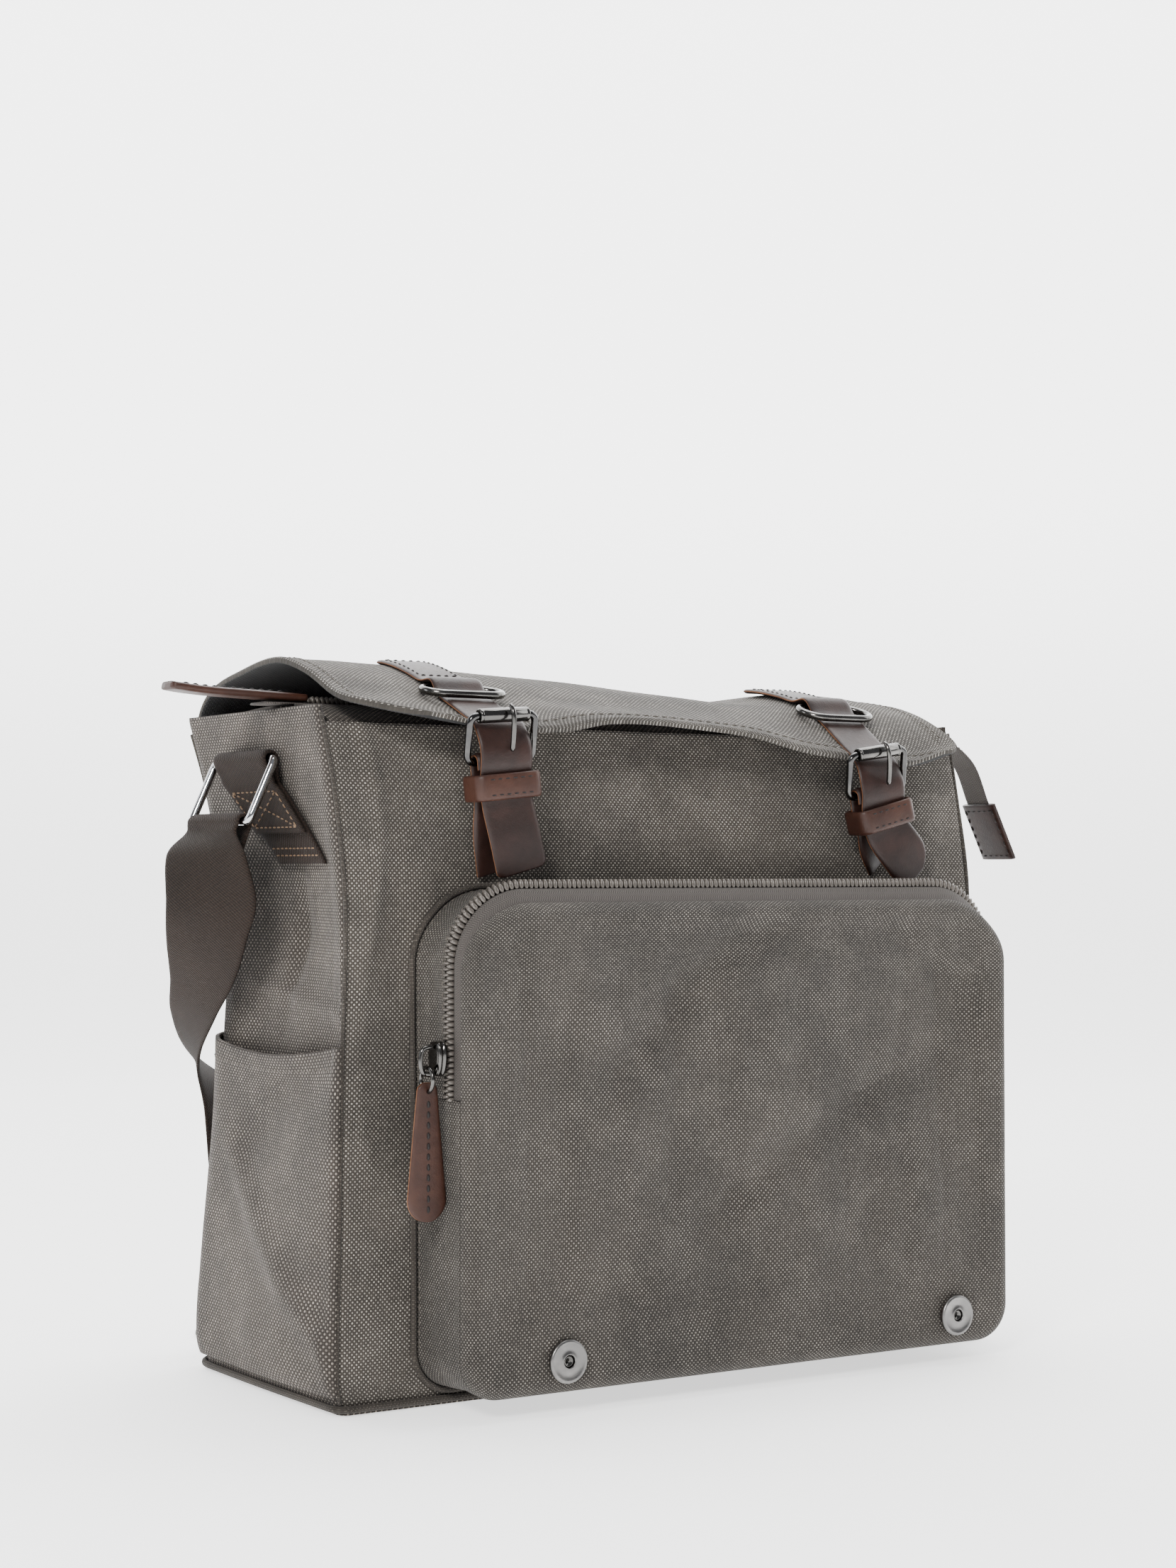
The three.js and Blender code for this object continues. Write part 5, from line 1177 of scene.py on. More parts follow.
def front_pocket():
    """Everything of the pocket but its face: side strips, zip tape, chain, welt, and the rows of stitches."""
    face_back = POCKET_FRONT + POCKET["edge"] + GAP
    coil_back, coil_front = COIL_Y + COIL_RADIUS + GAP, COIL_Y - COIL_RADIUS - GAP
    pocket_strip("pocket_band", ZIP_FROM, ZIP_TO, coil_back, CANVAS, 61)
    pocket_strip("pocket_gusset", ZIP_TO, TOTAL + ZIP_FROM, face_back, CANVAS, 62)
    run = np.linspace(ZIP_FROM + 0.15, ZIP_TO - 0.15, 420)
    shares = np.linspace(0, 1, 12)
    tape = np.array([pocket_at(run, mix(coil_front, face_back, s), 1.0 - 0.5 * math.sin(math.pi * s))[0]
                     for s in shares])
    behind = np.array([pocket_at(run, mix(coil_front, face_back, s), 2.8)[0] for s in shares])
    uv = np.stack(np.meshgrid(run, np.linspace(0, face_back - coil_front, 12)), axis=-1)[..., ::-1]
    tape, behind = slope_top(tape), slope_top(behind)
    cloth("pocket_zip_cloth", tape, 0, TAPE, ["pocket_zip_tape"], "zip_tape", behind, uv)
    run = np.linspace(ZIP_FROM + 0.2, ZIP_TO - 0.2, 900)
    p, n = pocket_at(run, COIL_Y, 2.1)
    side = np.broadcast_to([0, -1.0, 0], p.shape)
    points, faces = teeth_row(p, n, side, 2.35, COIL_RADIUS, 3.6)
    mesh_piece("pocket_zip_chain", points, faces, TEETH, ["pocket_zip_coil"], merge_uv(points))
    back, n = pocket_at(run, COIL_Y, 3.4)
    flat_bar("pocket_zip_bed", back, n, side, COIL_RADIUS + 0.2, 1.2, TAPE, ())
    welt = np.linspace(0, TOTAL, 600, endpoint=False)
    p, _ = pocket_at(welt, 0, -1.6, 1.0)
    p[:, 1] = front_at(p[:, 0], p[:, 2]) - 1.6
    tube("pocket_welt", p, 1.3, BINDING, ["pocket_piping"], 10, True, reference=(0, 1, 0))
    p, n = pocket_at(np.linspace(ZIP_FROM + 2, ZIP_TO - 2, 500), coil_back + 2.0, 0.5 - 0.35)
    rows = [stitches(p, n)]
    run = np.linspace(FOOT_LEG, TOTAL - FOOT_LEG, 900)
    rear, _ = pocket_at(run, 0, 0, 1.0)
    p, n = pocket_at(run, mix(front_at(rear[:, 0], rear[:, 2]) - GAP, coil_back, 0.12), 0.1, 0.96)
    rows.append(stitches(p, n))
    for end, sign in ((ZIP_FROM, -1), (ZIP_TO, 1)):
        for step in (2.5, 8.0):
            y = np.linspace(face_back - 1, -72, 40)
            p, n = pocket_at(np.full(40, end + sign * step), y, 0.62)
            rows.append(stitches(p, n))
    return rows


pocket_face()
canvas_rows += front_pocket()


# ---- Buckled straps ---------------------------------------------------------------------------------------

FORE = np.array([0, -1.0, 0])
WRAP_AT = BUCKLE_BAR + GAP + LEATHER_THICK / 2
OVER_HEEL = WRAP_AT + LEATHER_THICK + 3 * GAP
RING_REAR = 0.805
RING_FRONT = RING_REAR + 15.0 / FLAP["length"]
STRAPS = [dict(side="left", x=-0.592, heel=1.0, turn=4, tail=15, end=2.5, round=3.0),
          dict(side="right", x=0.592, heel=1.0, turn=8, tail=45, end=3.0, round=11.0)]


def strap_frame(s):
    """The heel bar beside the flap's hem, with the buckle's width and height directions."""
    x = s["x"] * BAG["width"] / 2
    hem = over_flap(np.array([x]), np.array([1.0]), GAP)[0]
    heel = np.array([x + s["heel"], hem[1] - 1.5, hem[2] - 16.0])
    t = math.radians(s["turn"])
    return dict(s, x=x, hem=hem, heel=heel, wide=np.array([math.cos(t), 0, math.sin(t)]),
                up=np.array([-math.sin(t), 0, math.cos(t)]))


def below_heel(s, down, height):
    """A point down the strap as it turns towards its tail, at a height out from the heel bar."""
    p = s["heel"] + FORE * height
    here = down * (np.arange(24) + 0.5) / 24
    turn = np.radians(mix(s["turn"], s["tail"], ease(6, 26, here)))
    return p + np.array([np.sin(turn).sum(), 0, -np.cos(turn).sum()]) * down / 24


def beside_heel(s, rise, height):
    """A point beside the heel bar, up the buckle by a rise and out by a height."""
    return s["heel"] + s["up"] * rise + FORE * height


def length_down_to(s, z, rounding):
    """The length below the heel bar at which the strap's lowest corner reaches a height z."""
    corner = (LEATHER_WIDE / 2 - rounding) * math.sin(math.radians(s["tail"]))
    length = 0.0
    while below_heel(s, length, 0)[2] - corner > z:
        length += 0.5
    return length


def on_panel(s, down):
    """How far behind the heel bar a strap is that lies on the front panel there."""
    p = below_heel(s, down, 0)
    reach, drop = (LEATHER_WIDE / 2 * f(math.radians(s["tail"])) for f in (math.cos, math.sin))
    near = min(float(front_at(p[0] + k * reach, p[2] + k * drop + up)) for k in (-1, 0, 1) for up in (0, 12))
    return s["heel"][1] - near + 3 * GAP + LEATHER_THICK / 2


def flat_sides(centres, wide):
    """Width directions of a strap: level where it hangs, near a given direction where it turns over."""
    along = unit(np.gradient(centres, axis=0))
    level = np.cross(np.broadcast_to(FORE, along.shape), along)
    steep = np.linalg.norm(level, axis=1) < 0.35
    side = np.where(steep[:, None], wide - along * (along @ wide)[:, None], level)
    side = side * np.sign(side @ wide)[:, None]
    k = np.ones(9) / 9
    side = np.stack([np.convolve(np.pad(side[:, j], 4, mode="edge"), k, "valid") for j in range(3)], axis=1)
    return unit(side)


def leather_strip(name, centres, side, half, thick, material, nodes, columns=24):
    """A leather strip with rounded long edges and raw edge colour; the result is its outward directions."""
    along = unit(np.gradient(centres, axis=0))
    up = unit(np.cross(along, side))
    a = np.linspace(-1, 1, columns)
    lift = thick / 2 * (1 - 0.75 * np.abs(a) ** 14)
    offsets = np.concatenate([a, a[::-1]])
    heights = np.concatenate([lift, -lift[::-1]])
    rings = (centres[:, None] + side[:, None] * (offsets[None] * np.asarray(half)[:, None])[..., None]
             + up[:, None] * heights[None, :, None])
    first, last = (ring.mean(axis=1, keepdims=True).repeat(2 * columns, 1) for ring in (rings[:1], rings[-1:]))
    rings = np.concatenate([first, rings, last])
    faces = facing(rings, grid_faces(len(rings), 2 * columns, wrap_columns=True))
    piece = mesh_piece(name, rings, faces, material, nodes, merge_uv(rings.reshape(-1, 3)))
    piece.data.materials.append(RAW_EDGE)
    index = np.zeros(len(faces), dtype=np.int32)
    column = np.tile(np.arange(2 * columns), len(rings) - 1)
    index[np.isin(column, (columns - 1, 2 * columns - 1))] = 1
    index[:2 * columns] = 1
    index[-2 * columns:] = 1
    piece.data.polygons.foreach_set("material_index", index)
    return up


def flap_strap(s):
    """Over the flap and the ring's bar, down over the buckle's heel bar and through the keeper."""
    rise = 2 * FLAP_RING_BAR + 2 * GAP
    v = np.linspace(0.585, 1, 130)
    low = 2 * GAP + rise * np.exp(-((((v - RING_REAR) * FLAP["length"]) / 5.5) ** 2))
    on_flap = over_flap(np.full(130, s["x"]), v, low + LEATHER_THICK / 2)
    hem = on_flap[-1]
    floor = POCKET["lift"] + POCKET["height"] + s["end"]
    tail = length_down_to(s, floor, s["round"])
    guide = [hem, hem + [0, -2.8, -3], beside_heel(s, 7, OVER_HEEL - 0.3), beside_heel(s, 0, OVER_HEEL),
             below_heel(s, 6, OVER_HEEL - 1.4), below_heel(s, 16, OVER_HEEL - 2.3),
             below_heel(s, mix(16, tail, 0.5), OVER_HEEL - 2), below_heel(s, tail, OVER_HEEL - 2.6)]
    free = even(catmull(guide, 200), 110)[1:]
    centres = np.concatenate([on_flap, free])
    side = np.concatenate([np.broadcast_to([1.0, 0, 0], (130, 3)), flat_sides(free, s["wide"])])
    soft = ease(120, 150, np.arange(len(centres)))[:, None]
    side = unit(mix(np.array([1.0, 0, 0]), side, soft))
    along = unit(np.gradient(centres, axis=0))
    side = unit(side - along * np.sum(side * along, axis=1, keepdims=True))
    run = run_along(centres)
    left = np.clip(run[-1] - run, s["round"] * 0.02, s["round"])
    half = LEATHER_WIDE / 2 - s["round"] + np.sqrt(np.maximum(s["round"] ** 2 - (s["round"] - left) ** 2, 0))
    start = np.clip(run, 0.05, 3.0)
    half = half - (3 - np.sqrt(np.maximum(9 - (3 - start) ** 2, 0))) * 0.6
    up = leather_strip("flap_strap_%s_leather" % s["side"], centres, side, half, LEATHER_THICK, LEATHER,
                       ["flap_strap_" + s["side"]])
    up = up * np.sign(np.sum(up * np.array([0, -0.6, 0.8]), axis=1))[:, None]
    face = centres + up * (LEATHER_THICK / 2 + 0.05)
    patch = (run > 3.5) & (run < run[129] * 0.40)
    aside = 9.6
    rows = [stitches((face + side * sign * aside)[patch], up[patch], 2.6, 1.1, 0.36) for sign in (-1, 1)]
    ends = np.flatnonzero(patch)
    for k in (ends[0], ends[-1]):
        line = face[k] + side[k] * np.linspace(-aside, aside, 30)[:, None]
        rows.append(stitches(line, np.broadcast_to(up[k], line.shape), 2.6, 1.1, 0.36))
    return rows


def body_strap(s):
    """From under the tail, up behind the heel bar, round it and a little way down again."""
    end = length_down_to(s, POCKET["lift"] + POCKET["height"] + s["end"], 0)
    wrap = [beside_heel(s, WRAP_AT * math.sin(a), WRAP_AT * math.cos(a)) for a in np.linspace(0, math.pi, 13)]
    middle = mix(16, end, 0.5)
    start = [below_heel(s, 3.5, WRAP_AT)]
    beside = np.array([-2.4, 0, 0])
    rest = [wrap[-1], below_heel(s, 6, 0.3 - WRAP_AT), below_heel(s, 16, 0.8 - WRAP_AT),
            below_heel(s, middle, mix(-WRAP_AT, on_panel(s, middle), 0.25)) + beside,
            below_heel(s, end, on_panel(s, end)) + beside]
    centres = even(np.concatenate([start, wrap, catmull(rest, 80)[1:]]), 110)
    side = flat_sides(centres, s["wide"])
    half = np.full(len(centres), LEATHER_WIDE / 2)
    leather_strip("body_strap_%s_leather" % s["side"], centres, side, half, LEATHER_THICK, LEATHER,
                  ["body_strap_" + s["side"]])


def buckle(s):
    """A rounded frame, its roller with fine end collars, and a bent prong whose tip rests on the roller."""
    name = s["side"]
    lean = unit(s["up"] + FORE * 0.27)
    centre = s["heel"] + lean * 10.0
    half_wide = LEATHER_WIDE / 2 + BUCKLE_BAR + 1.9
    loop = rounded_loop(centre, s["wide"], lean, half_wide, 10.0, 3.5)
    tube("buckle_frame_%s_metal" % name, loop, BUCKLE_BAR, GUNMETAL, ["buckle_frame_" + name], 16, True,
         np.cross(s["wide"], lean))
    top = centre + lean * 10.0
    half = half_wide - 4
    profile = [(1.95, -1), (2.6, -1), (2.95, -0.985), (3.1, -0.96), (3.1, -0.9), (2.88, -0.88), (3.1, -0.86),
               (3.1, 0.86), (2.88, 0.88), (3.1, 0.9), (3.1, 0.96), (2.95, 0.985), (2.6, 1), (1.95, 1)]
    lathe("buckle_roller_%s_metal" % name, top, s["wide"], [(r, k * half) for r, k in profile], GUNMETAL_RUBBED,
          ["buckle_roller_" + name], 28)
    start = OVER_HEEL + LEATHER_THICK / 2 + GAP + 1.1
    guide = np.array([beside_heel(s, rise, start + out)
                      for rise, out in ((4, 0), (10, 1.6), (16, 2.7), (20.5, 2.6), (23.8, 0.4))])
    path = even(catmull(guide + s["wide"] * 1.5, 120), 50)
    thick = np.interp(np.linspace(0, 1, 50), [0, 0.06, 0.5, 0.93, 1], [0.7, 1.1, 1.15, 1.0, 0.55])
    tube("buckle_prong_%s_metal" % name, path, thick, GUNMETAL_RUBBED, ["buckle_prong_" + name], 12,
         reference=s["wide"])


def keeper(s):
    """The keeper: a rounded loop of leather round both layers, and its two rows of stitches."""
    centre = (OVER_HEEL - WRAP_AT - 1.1) / 2
    a, b = below_heel(s, 5.0, centre), below_heel(s, 16.0, centre)
    down = unit(b - a)
    wide = np.cross(down, FORE)
    wide = wide * np.sign(wide[0])
    half_wide, half_deep, thick = LEATHER_WIDE / 2 + 1.8, 6.5, 1.8
    rings = []
    for share, grow in ((0, 0), (0, 0.55), (0.04, 0.85), (0.14, 1.0), (0.86, 1.0), (0.96, 0.85), (1, 0.55), (1, 0),
                        (0.5, 0)):
        g = thick * grow
        rings.append(rounded_loop(mix(a, b, share), wide, FORE, half_wide + g, half_deep + g, 3 + g, 10))
    rings = np.array(rings)
    faces = facing(rings, grid_faces(len(rings), rings.shape[1], wrap_rows=True, wrap_columns=True))
    mesh_piece("keeper_%s_leather" % s["side"], rings, faces, LEATHER_BROWN, ["keeper_" + s["side"]],
               merge_uv(rings.reshape(-1, 3)))
    rows = []
    for share in (0.2, 0.8):
        p = mix(a, b, share) + FORE * (half_deep + thick + 0.05)
        line = p + wide * np.linspace(-11, 11, 40)[:, None]
        rows.append(stitches(line, np.broadcast_to(FORE, line.shape), 2.4, 1.2, 0.3))
    return rows


def flap_ring(s):
    """The rectangular ring: its rear bar lies under the strap and its front bar on it."""
    rear = over_flap(np.array([s["x"]]), np.array([RING_REAR]), GAP + FLAP_RING_BAR)[0]
    above = 2 * GAP + LEATHER_THICK + 2 * GAP + FLAP_RING_BAR
    front = over_flap(np.array([s["x"]]), np.array([RING_FRONT]), above)[0]
    deep = np.linalg.norm(front - rear) / 2
    fore = unit(front - rear)
    wide = np.array([1.0, 0, 0])
    loop = rounded_loop((front + rear) / 2, wide, fore, 18.5, deep, deep - 0.2, 12)
    tube("flap_ring_%s_metal" % s["side"], loop, FLAP_RING_BAR, GUNMETAL_RUBBED, ["flap_ring_" + s["side"]],
         18, True, np.cross(wide, fore))


for strap in map(strap_frame, STRAPS):
    leather_rows += flap_strap(strap)
    body_strap(strap)
    buckle(strap)
    leather_rows += keeper(strap)
    flap_ring(strap)


# ---- Pocket zip's slider and the snaps --------------------------------------------------------------------

def zip_pull():
    """Slider body, its bridge, the small ring and the leather puller, and its two rows of stitches."""
    side = POCKET_X - POCKET["width"] / 2
    foot = ZIP_LEFT_END + 10
    body_x = side - 1 - GAP - 2.0 - COIL_RADIUS + 1
    a = np.linspace(0, 2 * math.pi, 40, endpoint=False)
    cy = np.sign(np.cos(a)) * np.abs(np.cos(a)) ** 0.6
    cz = np.sign(np.sin(a)) * np.abs(np.sin(a)) ** 0.6
    taper = 1 - 0.22 * np.clip(-cz, 0, 1)
    half_wide, half_long = 5.0, 7.0
    layers = [(0.0, -2.0), (0.55, -2.0), (0.9, -1.9), (1.0, -1.5), (1.0, -0.4), (0.86, -0.2), (0.86, 0.2),
              (1.0, 0.4), (1.0, 1.5), (0.9, 1.9), (0.55, 2.0), (0.0, 2.0)]
    rings = np.array([np.stack([np.full(40, body_x + dx), COIL_Y + half_wide * k * cy * taper,
                                foot + half_long + half_long * k * cz], axis=1) for k, dx in layers])
    faces = facing(rings, grid_faces(len(rings), 40, wrap_columns=True))
    mesh_piece("slider_metal", rings, faces, GUNMETAL_RUBBED, ["zip_slider"],
               merge_uv(rings.reshape(-1, 3)))
    face_x = body_x - 2.0 - GAP
    top = foot + 12
    arch = [(face_x - 0.25, top), (face_x - 4.4, top - 1), (face_x - 5.5, top - 3.5), (face_x - 5.5, foot + 4),
            (face_x - 4.4, foot + 1.5), (face_x - 0.25, foot + 0.5)]
    path = even(catmull([(x, COIL_Y, z) for x, z in arch], 120), 60)
    tube("slider_bridge_metal", path, 1.0, GUNMETAL_RUBBED, ["slider_bridge"], 12, reference=(0, 1, 0))
    hang_x = face_x - 2.75
    radius, bar = 5, 0.9
    ring_z = foot + 1.5 + 1 + GAP + bar - radius
    t = np.linspace(0, 2 * math.pi, 48, endpoint=False)
    loop = np.stack([np.full(48, hang_x), COIL_Y + radius * np.cos(t), ring_z + radius * np.sin(t)], axis=1)
    tube("pull_ring_metal", loop, bar, GUNMETAL_RUBBED, ["pull_ring"], 12, True, (1, 0, 0))
    straight, foot_half = 47, 9
    top_z = ring_z - radius + 3.8
    foot_z = top_z - straight
    z = np.concatenate([top_z - np.array([0.02, 0.3, 0.9, 1.8]), np.linspace(top_z - 3, foot_z, 50),
                        foot_z - foot_half * np.sin(np.linspace(0.02, math.pi / 2, 16))])
    half = np.interp(top_z - z, [0, 2, straight], [2.8, 4.5, foot_half])
    head = np.sqrt(np.clip(1 - (1 - np.clip((top_z - z) / 2, 0, 1)) ** 2, 0, 1))
    half = half * (0.6 + 0.4 * head)
    low = z < foot_z
    half[low] = np.sqrt(np.maximum(foot_half**2 - (z[low] - foot_z) ** 2, 0.01))
    centres = np.stack([np.full(len(z), hang_x), np.full(len(z), COIL_Y), z], axis=1)
    sides = np.broadcast_to([1.0, 0, 0], centres.shape)
    leather_strip("zip_puller_leather", centres, sides, half, 2.5, LEATHER_BROWN, ["zip_puller"], 18)
    rows = []
    for sign in (-1, 1):
        line = centres[8:-8] + [0, sign * 1.3, 0]
        rows.append(stitches(line, np.broadcast_to([0, sign * 1.0, 0], line.shape), 2.8, 1.4, 0.62))
    return rows


def snap(side, x):
    """A magnetic snap: dark backing disc, dished nickel disc with a rolled rim, and its hollow rivet."""
    y = POCKET_FRONT + float(pocket_face_y(np.array(x), np.array(SNAP_HEIGHT))) - GAP
    at = np.array([x, y, SNAP_HEIGHT])
    lathe("snap_backing_%s_disc" % side, at, FORE, [(0.01, 0), (8, 0), (8.05, 0.3), (7.8, 0.75), (0.01, 0.8)],
          LEATHER, ["snap_backing_" + side], 48)
    lathe("snap_%s_disc" % side, at + FORE * 1.1, FORE,
          [(2.6, 0), (8.7, 0), (9.0, 0.35), (9.0, 0.9), (8.75, 1.45), (8.3, 1.75), (7.9, 1.8), (7.3, 1.62),
           (6.6, 1.38), (5.2, 1.28), (3.9, 1.32), (3.3, 1.6), (3.0, 1.75), (2.7, 1.6)],
          NICKEL, ["snap_" + side], 64)
    lathe("snap_rivet_%s_cup" % side, at + FORE * 1.1, FORE,
          [(0.01, 0), (2.25, 0), (2.3, 0.6), (2.1, 0.9), (1.8, 0.9), (1.5, 0.55), (0.01, 0.45)], GUNMETAL_RUBBED,
          ["snap_rivet_" + side], 32)


leather_rows += zip_pull()
snap("left", -90.0)
snap("right", 118.0)


# ---- Webbing anchors, side rings and shoulder strap -------------------------------------------------------

def loop_line(side, y):
    """The place x at a depth y on the straight line under the ring's bar."""
    front, back = (gusset_at(side, np.array([ANCHOR_TOP_Y + aside]), np.array([ANCHOR_TOP]), 0)[0]
                   for aside in (-WEB_WIDE / 2, WEB_WIDE / 2))
    return mix(front[0], back[0], (y - front[1]) / (back[1] - front[1]))


def webbing(name, grids, columns, run, nodes):
    """Webbing between two grids, its UV from the share across and the length along."""
    uv = np.stack(np.broadcast_arrays(columns[None, :] * WEB_WIDE / 2, run[:, None]), axis=-1)
    cloth(name, grids[0], 0, WEBBING, nodes, "webbing", grids[1], uv)


def anchor_y(z, across):
    """The depth y of the anchor at a height and a share across; its foot leans forwards."""
    share = np.minimum((z - ANCHOR_FOOT) / 35, 1)
    return mix(ANCHOR_FOOT_Y, ANCHOR_TOP_Y, share) + across * WEB_WIDE / 2


def side_anchor(side):
    """The webbing sewn on the gusset, over the ring's bar and down on itself: the bar's middle and the stitches."""
    mirror = -1 if side == "left" else 1
    first, wrap = 2 * GAP + WEB_THICK / 2, SIDE_RING_BAR + GAP + WEB_THICK / 2
    bar_out = first + wrap
    second = first + WEB_THICK + GAP
    turn = np.linspace(0, math.pi, 24)[1:]
    profile = [(first, z) for z in np.linspace(ANCHOR_FOOT, ANCHOR_TOP, 40)]
    profile += list(zip(bar_out - wrap * np.cos(turn), ANCHOR_TOP + wrap * np.sin(turn)))
    lowered = [(0, 0), (0.35, 3.5), (0.85, 7), (1, 10), (1, 20), (1, ANCHOR_TOP - ANCHOR_END)]
    down = catmull([(mix(bar_out + wrap, second, share), ANCHOR_TOP - drop, 0) for share, drop in lowered], 60)
    profile = np.array(profile + [(p[0], p[1]) for p in down[1:]])
    d = np.gradient(profile, axis=0)
    n = unit(np.stack([-d[:, 1], d[:, 0]], axis=1))
    columns = np.linspace(-1, 1, 30)
    edge = 1 - 0.55 * np.abs(columns) ** 16
    grids = []
    for depth in (0.5, -0.5):
        shift = depth * WEB_THICK * edge[None, :]
        z = profile[:, 1:2] + n[:, 1:2] * shift
        y = anchor_y(profile[:, 1:2], columns[None, :])
        base = gusset_at(side, y, np.minimum(z, ANCHOR_TOP + 4), 0)[..., 0]
        straight = mix(base, loop_line(side, y), ease(254, 268, profile[:, 1:2]))
        grids.append(np.stack([straight + mirror * (profile[:, :1] + n[:, :1] * shift), y, z], axis=-1))
    webbing("ring_anchor_%s_web" % side, grids, columns, run_along(profile), ["ring_anchor_" + side])

    def on_anchor(across, z):
        y = anchor_y(z, across)
        x = gusset_at(side, np.array([y]), np.array([z]), 0)[0, 0]
        layer = first if z < ANCHOR_END else second
        return np.array([x + mirror * (layer + WEB_THICK / 2 + 0.05), y, z])

    rows = []
    wide, low, high = 0.84, 240.5, 256.0
    box = [(-wide, low), (wide, low), (wide, high), (-wide, high), (-wide, low), (wide, high)]
    feet = [[(-0.9, z), (0.9, z)] for z in (228.5, 231.5)]
    for corners in (box, [(-wide, high), (wide, low)], *feet):
        for start, end in zip(corners[:-1], corners[1:]):
            line = np.array([on_anchor(mix(start[0], end[0], t), mix(start[1], end[1], t))
                             for t in np.linspace(0, 1, 24)])
            rows.append(stitches(line, np.broadcast_to([mirror * 1.0, 0, 0], line.shape), 2.8, 1.2, 0.36))
    top = np.array([loop_line(side, ANCHOR_TOP_Y) + mirror * bar_out, ANCHOR_TOP_Y, ANCHOR_TOP])
    return top, rows


def side_ring(side, top):
    """The ring that hangs in its anchor: the middle of its lower bar and its width direction."""
    mirror = -1 if side == "left" else 1
    wide = unit(np.array([loop_line(side, 1.0) - loop_line(side, 0.0), 1, 0]))
    down = unit(np.array([mirror * 0.45, 0, -1.0]))
    down = unit(down - wide * (down @ wide))
    half_wide, half_high = WEB_WIDE / 2 + SIDE_RING_BAR + 2.0, 15
    loop = rounded_loop(top + down * half_high, wide, down, half_wide, half_high, 3.5)
    tube("side_ring_%s_metal" % side, loop, SIDE_RING_BAR, BRIGHT, ["side_ring_" + side], 20, True,
         np.cross(wide, down))
    return top + down * half_high * 2, wide


# shares of half the bag's width and depth and of its height, and the turn of the webbing's width in degrees
STRAP_DROP = [(-1.142, 0.1, 0.79, -16), (-1.135, 0.06, 0.72, -24), (-1.12, 0.2, 0.665, -18),
              (-1.085, 0.44, 0.605, -9), (-1.045, 0.78, 0.545, 2), (-0.96, 1.19, 0.47, 22), (-0.83, 1.32, 0.39, 54), (-0.755, 1.32, 0.27, 82),
              (-0.70, 1.42, 0.12, 90)]


def shoulder_strap(at, wide):
    """One length of webbing from ring to ring: stations of a point and the turn of its width, on one spline.

    It folds over the left ring, drops behind the bag, lies on the floor in one arc, and its right half
    is the left one mirrored.
    """
    floor, half = WEB_THICK / 2 + GAP, 0.67 * BAG["width"] / 2
    bend_radius, arc_y, arc_reach, folded = 26, 135, 62, 44.0
    reach = SIDE_RING_BAR + GAP + WEB_THICK / 2
    turn = math.degrees(math.atan2(wide[0], wide[1]))
    inward = np.array([math.cos(math.radians(turn)), -math.sin(math.radians(turn)), 0])
    wrap = []
    for share in np.linspace(0, 1, 7):
        a = math.pi * (0.5 - share) * 1.1
        wrap.append((at + inward * reach * math.sin(a) + np.array([0, 0, reach * math.cos(a)]), turn))
    aside = 0.22 * BAG["depth"] / 2

    def inner(across, back, down):
        """A station of the layer that is folded back inside the ring."""
        return wrap[0][0] + np.array([across, back * aside, -down * folded]), turn

    fold = [inner(0, 1, 1), inner(-5, 1, 0.75), inner(0, 0.9, 0.48), inner(-2.0, 0.15, 0.2)]
    drop = [(np.array([x * BAG["width"] / 2, y * BAG["depth"] / 2, z * BAG["height"]]), t)
            for x, y, z, t in STRAP_DROP]
    start = drop[-1][0][1] + 4
    bend = []
    for a in np.linspace(0.15, 0.5, 5) * math.pi:
        back, up = bend_radius * (1 - math.cos(a)), bend_radius * (1 - math.sin(a))
        bend.append((np.array([-half, start + back, floor + up]), 90))
    flat = [(np.array([-half, mix(start + bend_radius, arc_y, 0.5), floor]), 90)]
    drop = drop + bend + flat
    arc = []
    for share in np.linspace(0, 1, 9):
        sine, cosine = math.sin(math.pi * share), math.cos(math.pi * share)
        arc.append((np.array([arc_reach * sine - half * cosine, arc_y + half * sine, floor]), 90 + 180 * share))
    below = (wrap[-1][0] + np.array([-1, 0, -4]), turn)
    sewn = [inner(1.5, 0, 0.7), inner(0.5, 0, 0.3)]
    right = [(p * np.array([-1, 1, 1]), 360 - t) for p, t in [*sewn, *wrap, below, *drop][::-1]]
    stations = [*fold, *wrap, below, *drop, *arc, *right]
    count = 1100
    centres = catmull([p for p, _ in stations], count)
    at_station = np.linspace(0, len(stations) - 1, count)
    turns = np.array([(k, t) for k, (_, t) in enumerate(stations)], float)
    angle = np.radians(read(turns, 1, at_station))
    centres[:, 2] = np.maximum(centres[:, 2], floor)
    side = np.stack([np.sin(angle), np.cos(angle), 0 * angle], axis=1)
    along = unit(np.gradient(centres, axis=0))
    face = unit(np.cross(along, side))
    run = run_along(centres)
    columns = np.linspace(-1, 1, 34)
    edge = 1 - 0.55 * np.abs(columns) ** 18
    lying = 1 - ease(3, 14, centres[:, 2])
    hang = (1 - lying) * np.sin(math.pi * np.linspace(0, 1, count)) ** 0.25
    cup = 0.9 * wrinkle(run / 60, 0 * run, 71, 1.3) * hang
    ring_station = np.argmin(np.linalg.norm(centres - at, axis=1))
    near_ring = ease(0, 25, np.abs(np.arange(count) - ring_station))
    bow = (cup * near_ring)[:, None] * (columns**2 - 0.35)[None, :]
    grids = [centres[:, None] + side[:, None] * (columns * WEB_WIDE / 2)[None, :, None]
             + face[:, None] * (bow + sign * edge[None, :])[..., None] for sign in (1.0, -1.0)]
    webbing("shoulder_strap_web", grids, columns, run, ["shoulder_strap"])


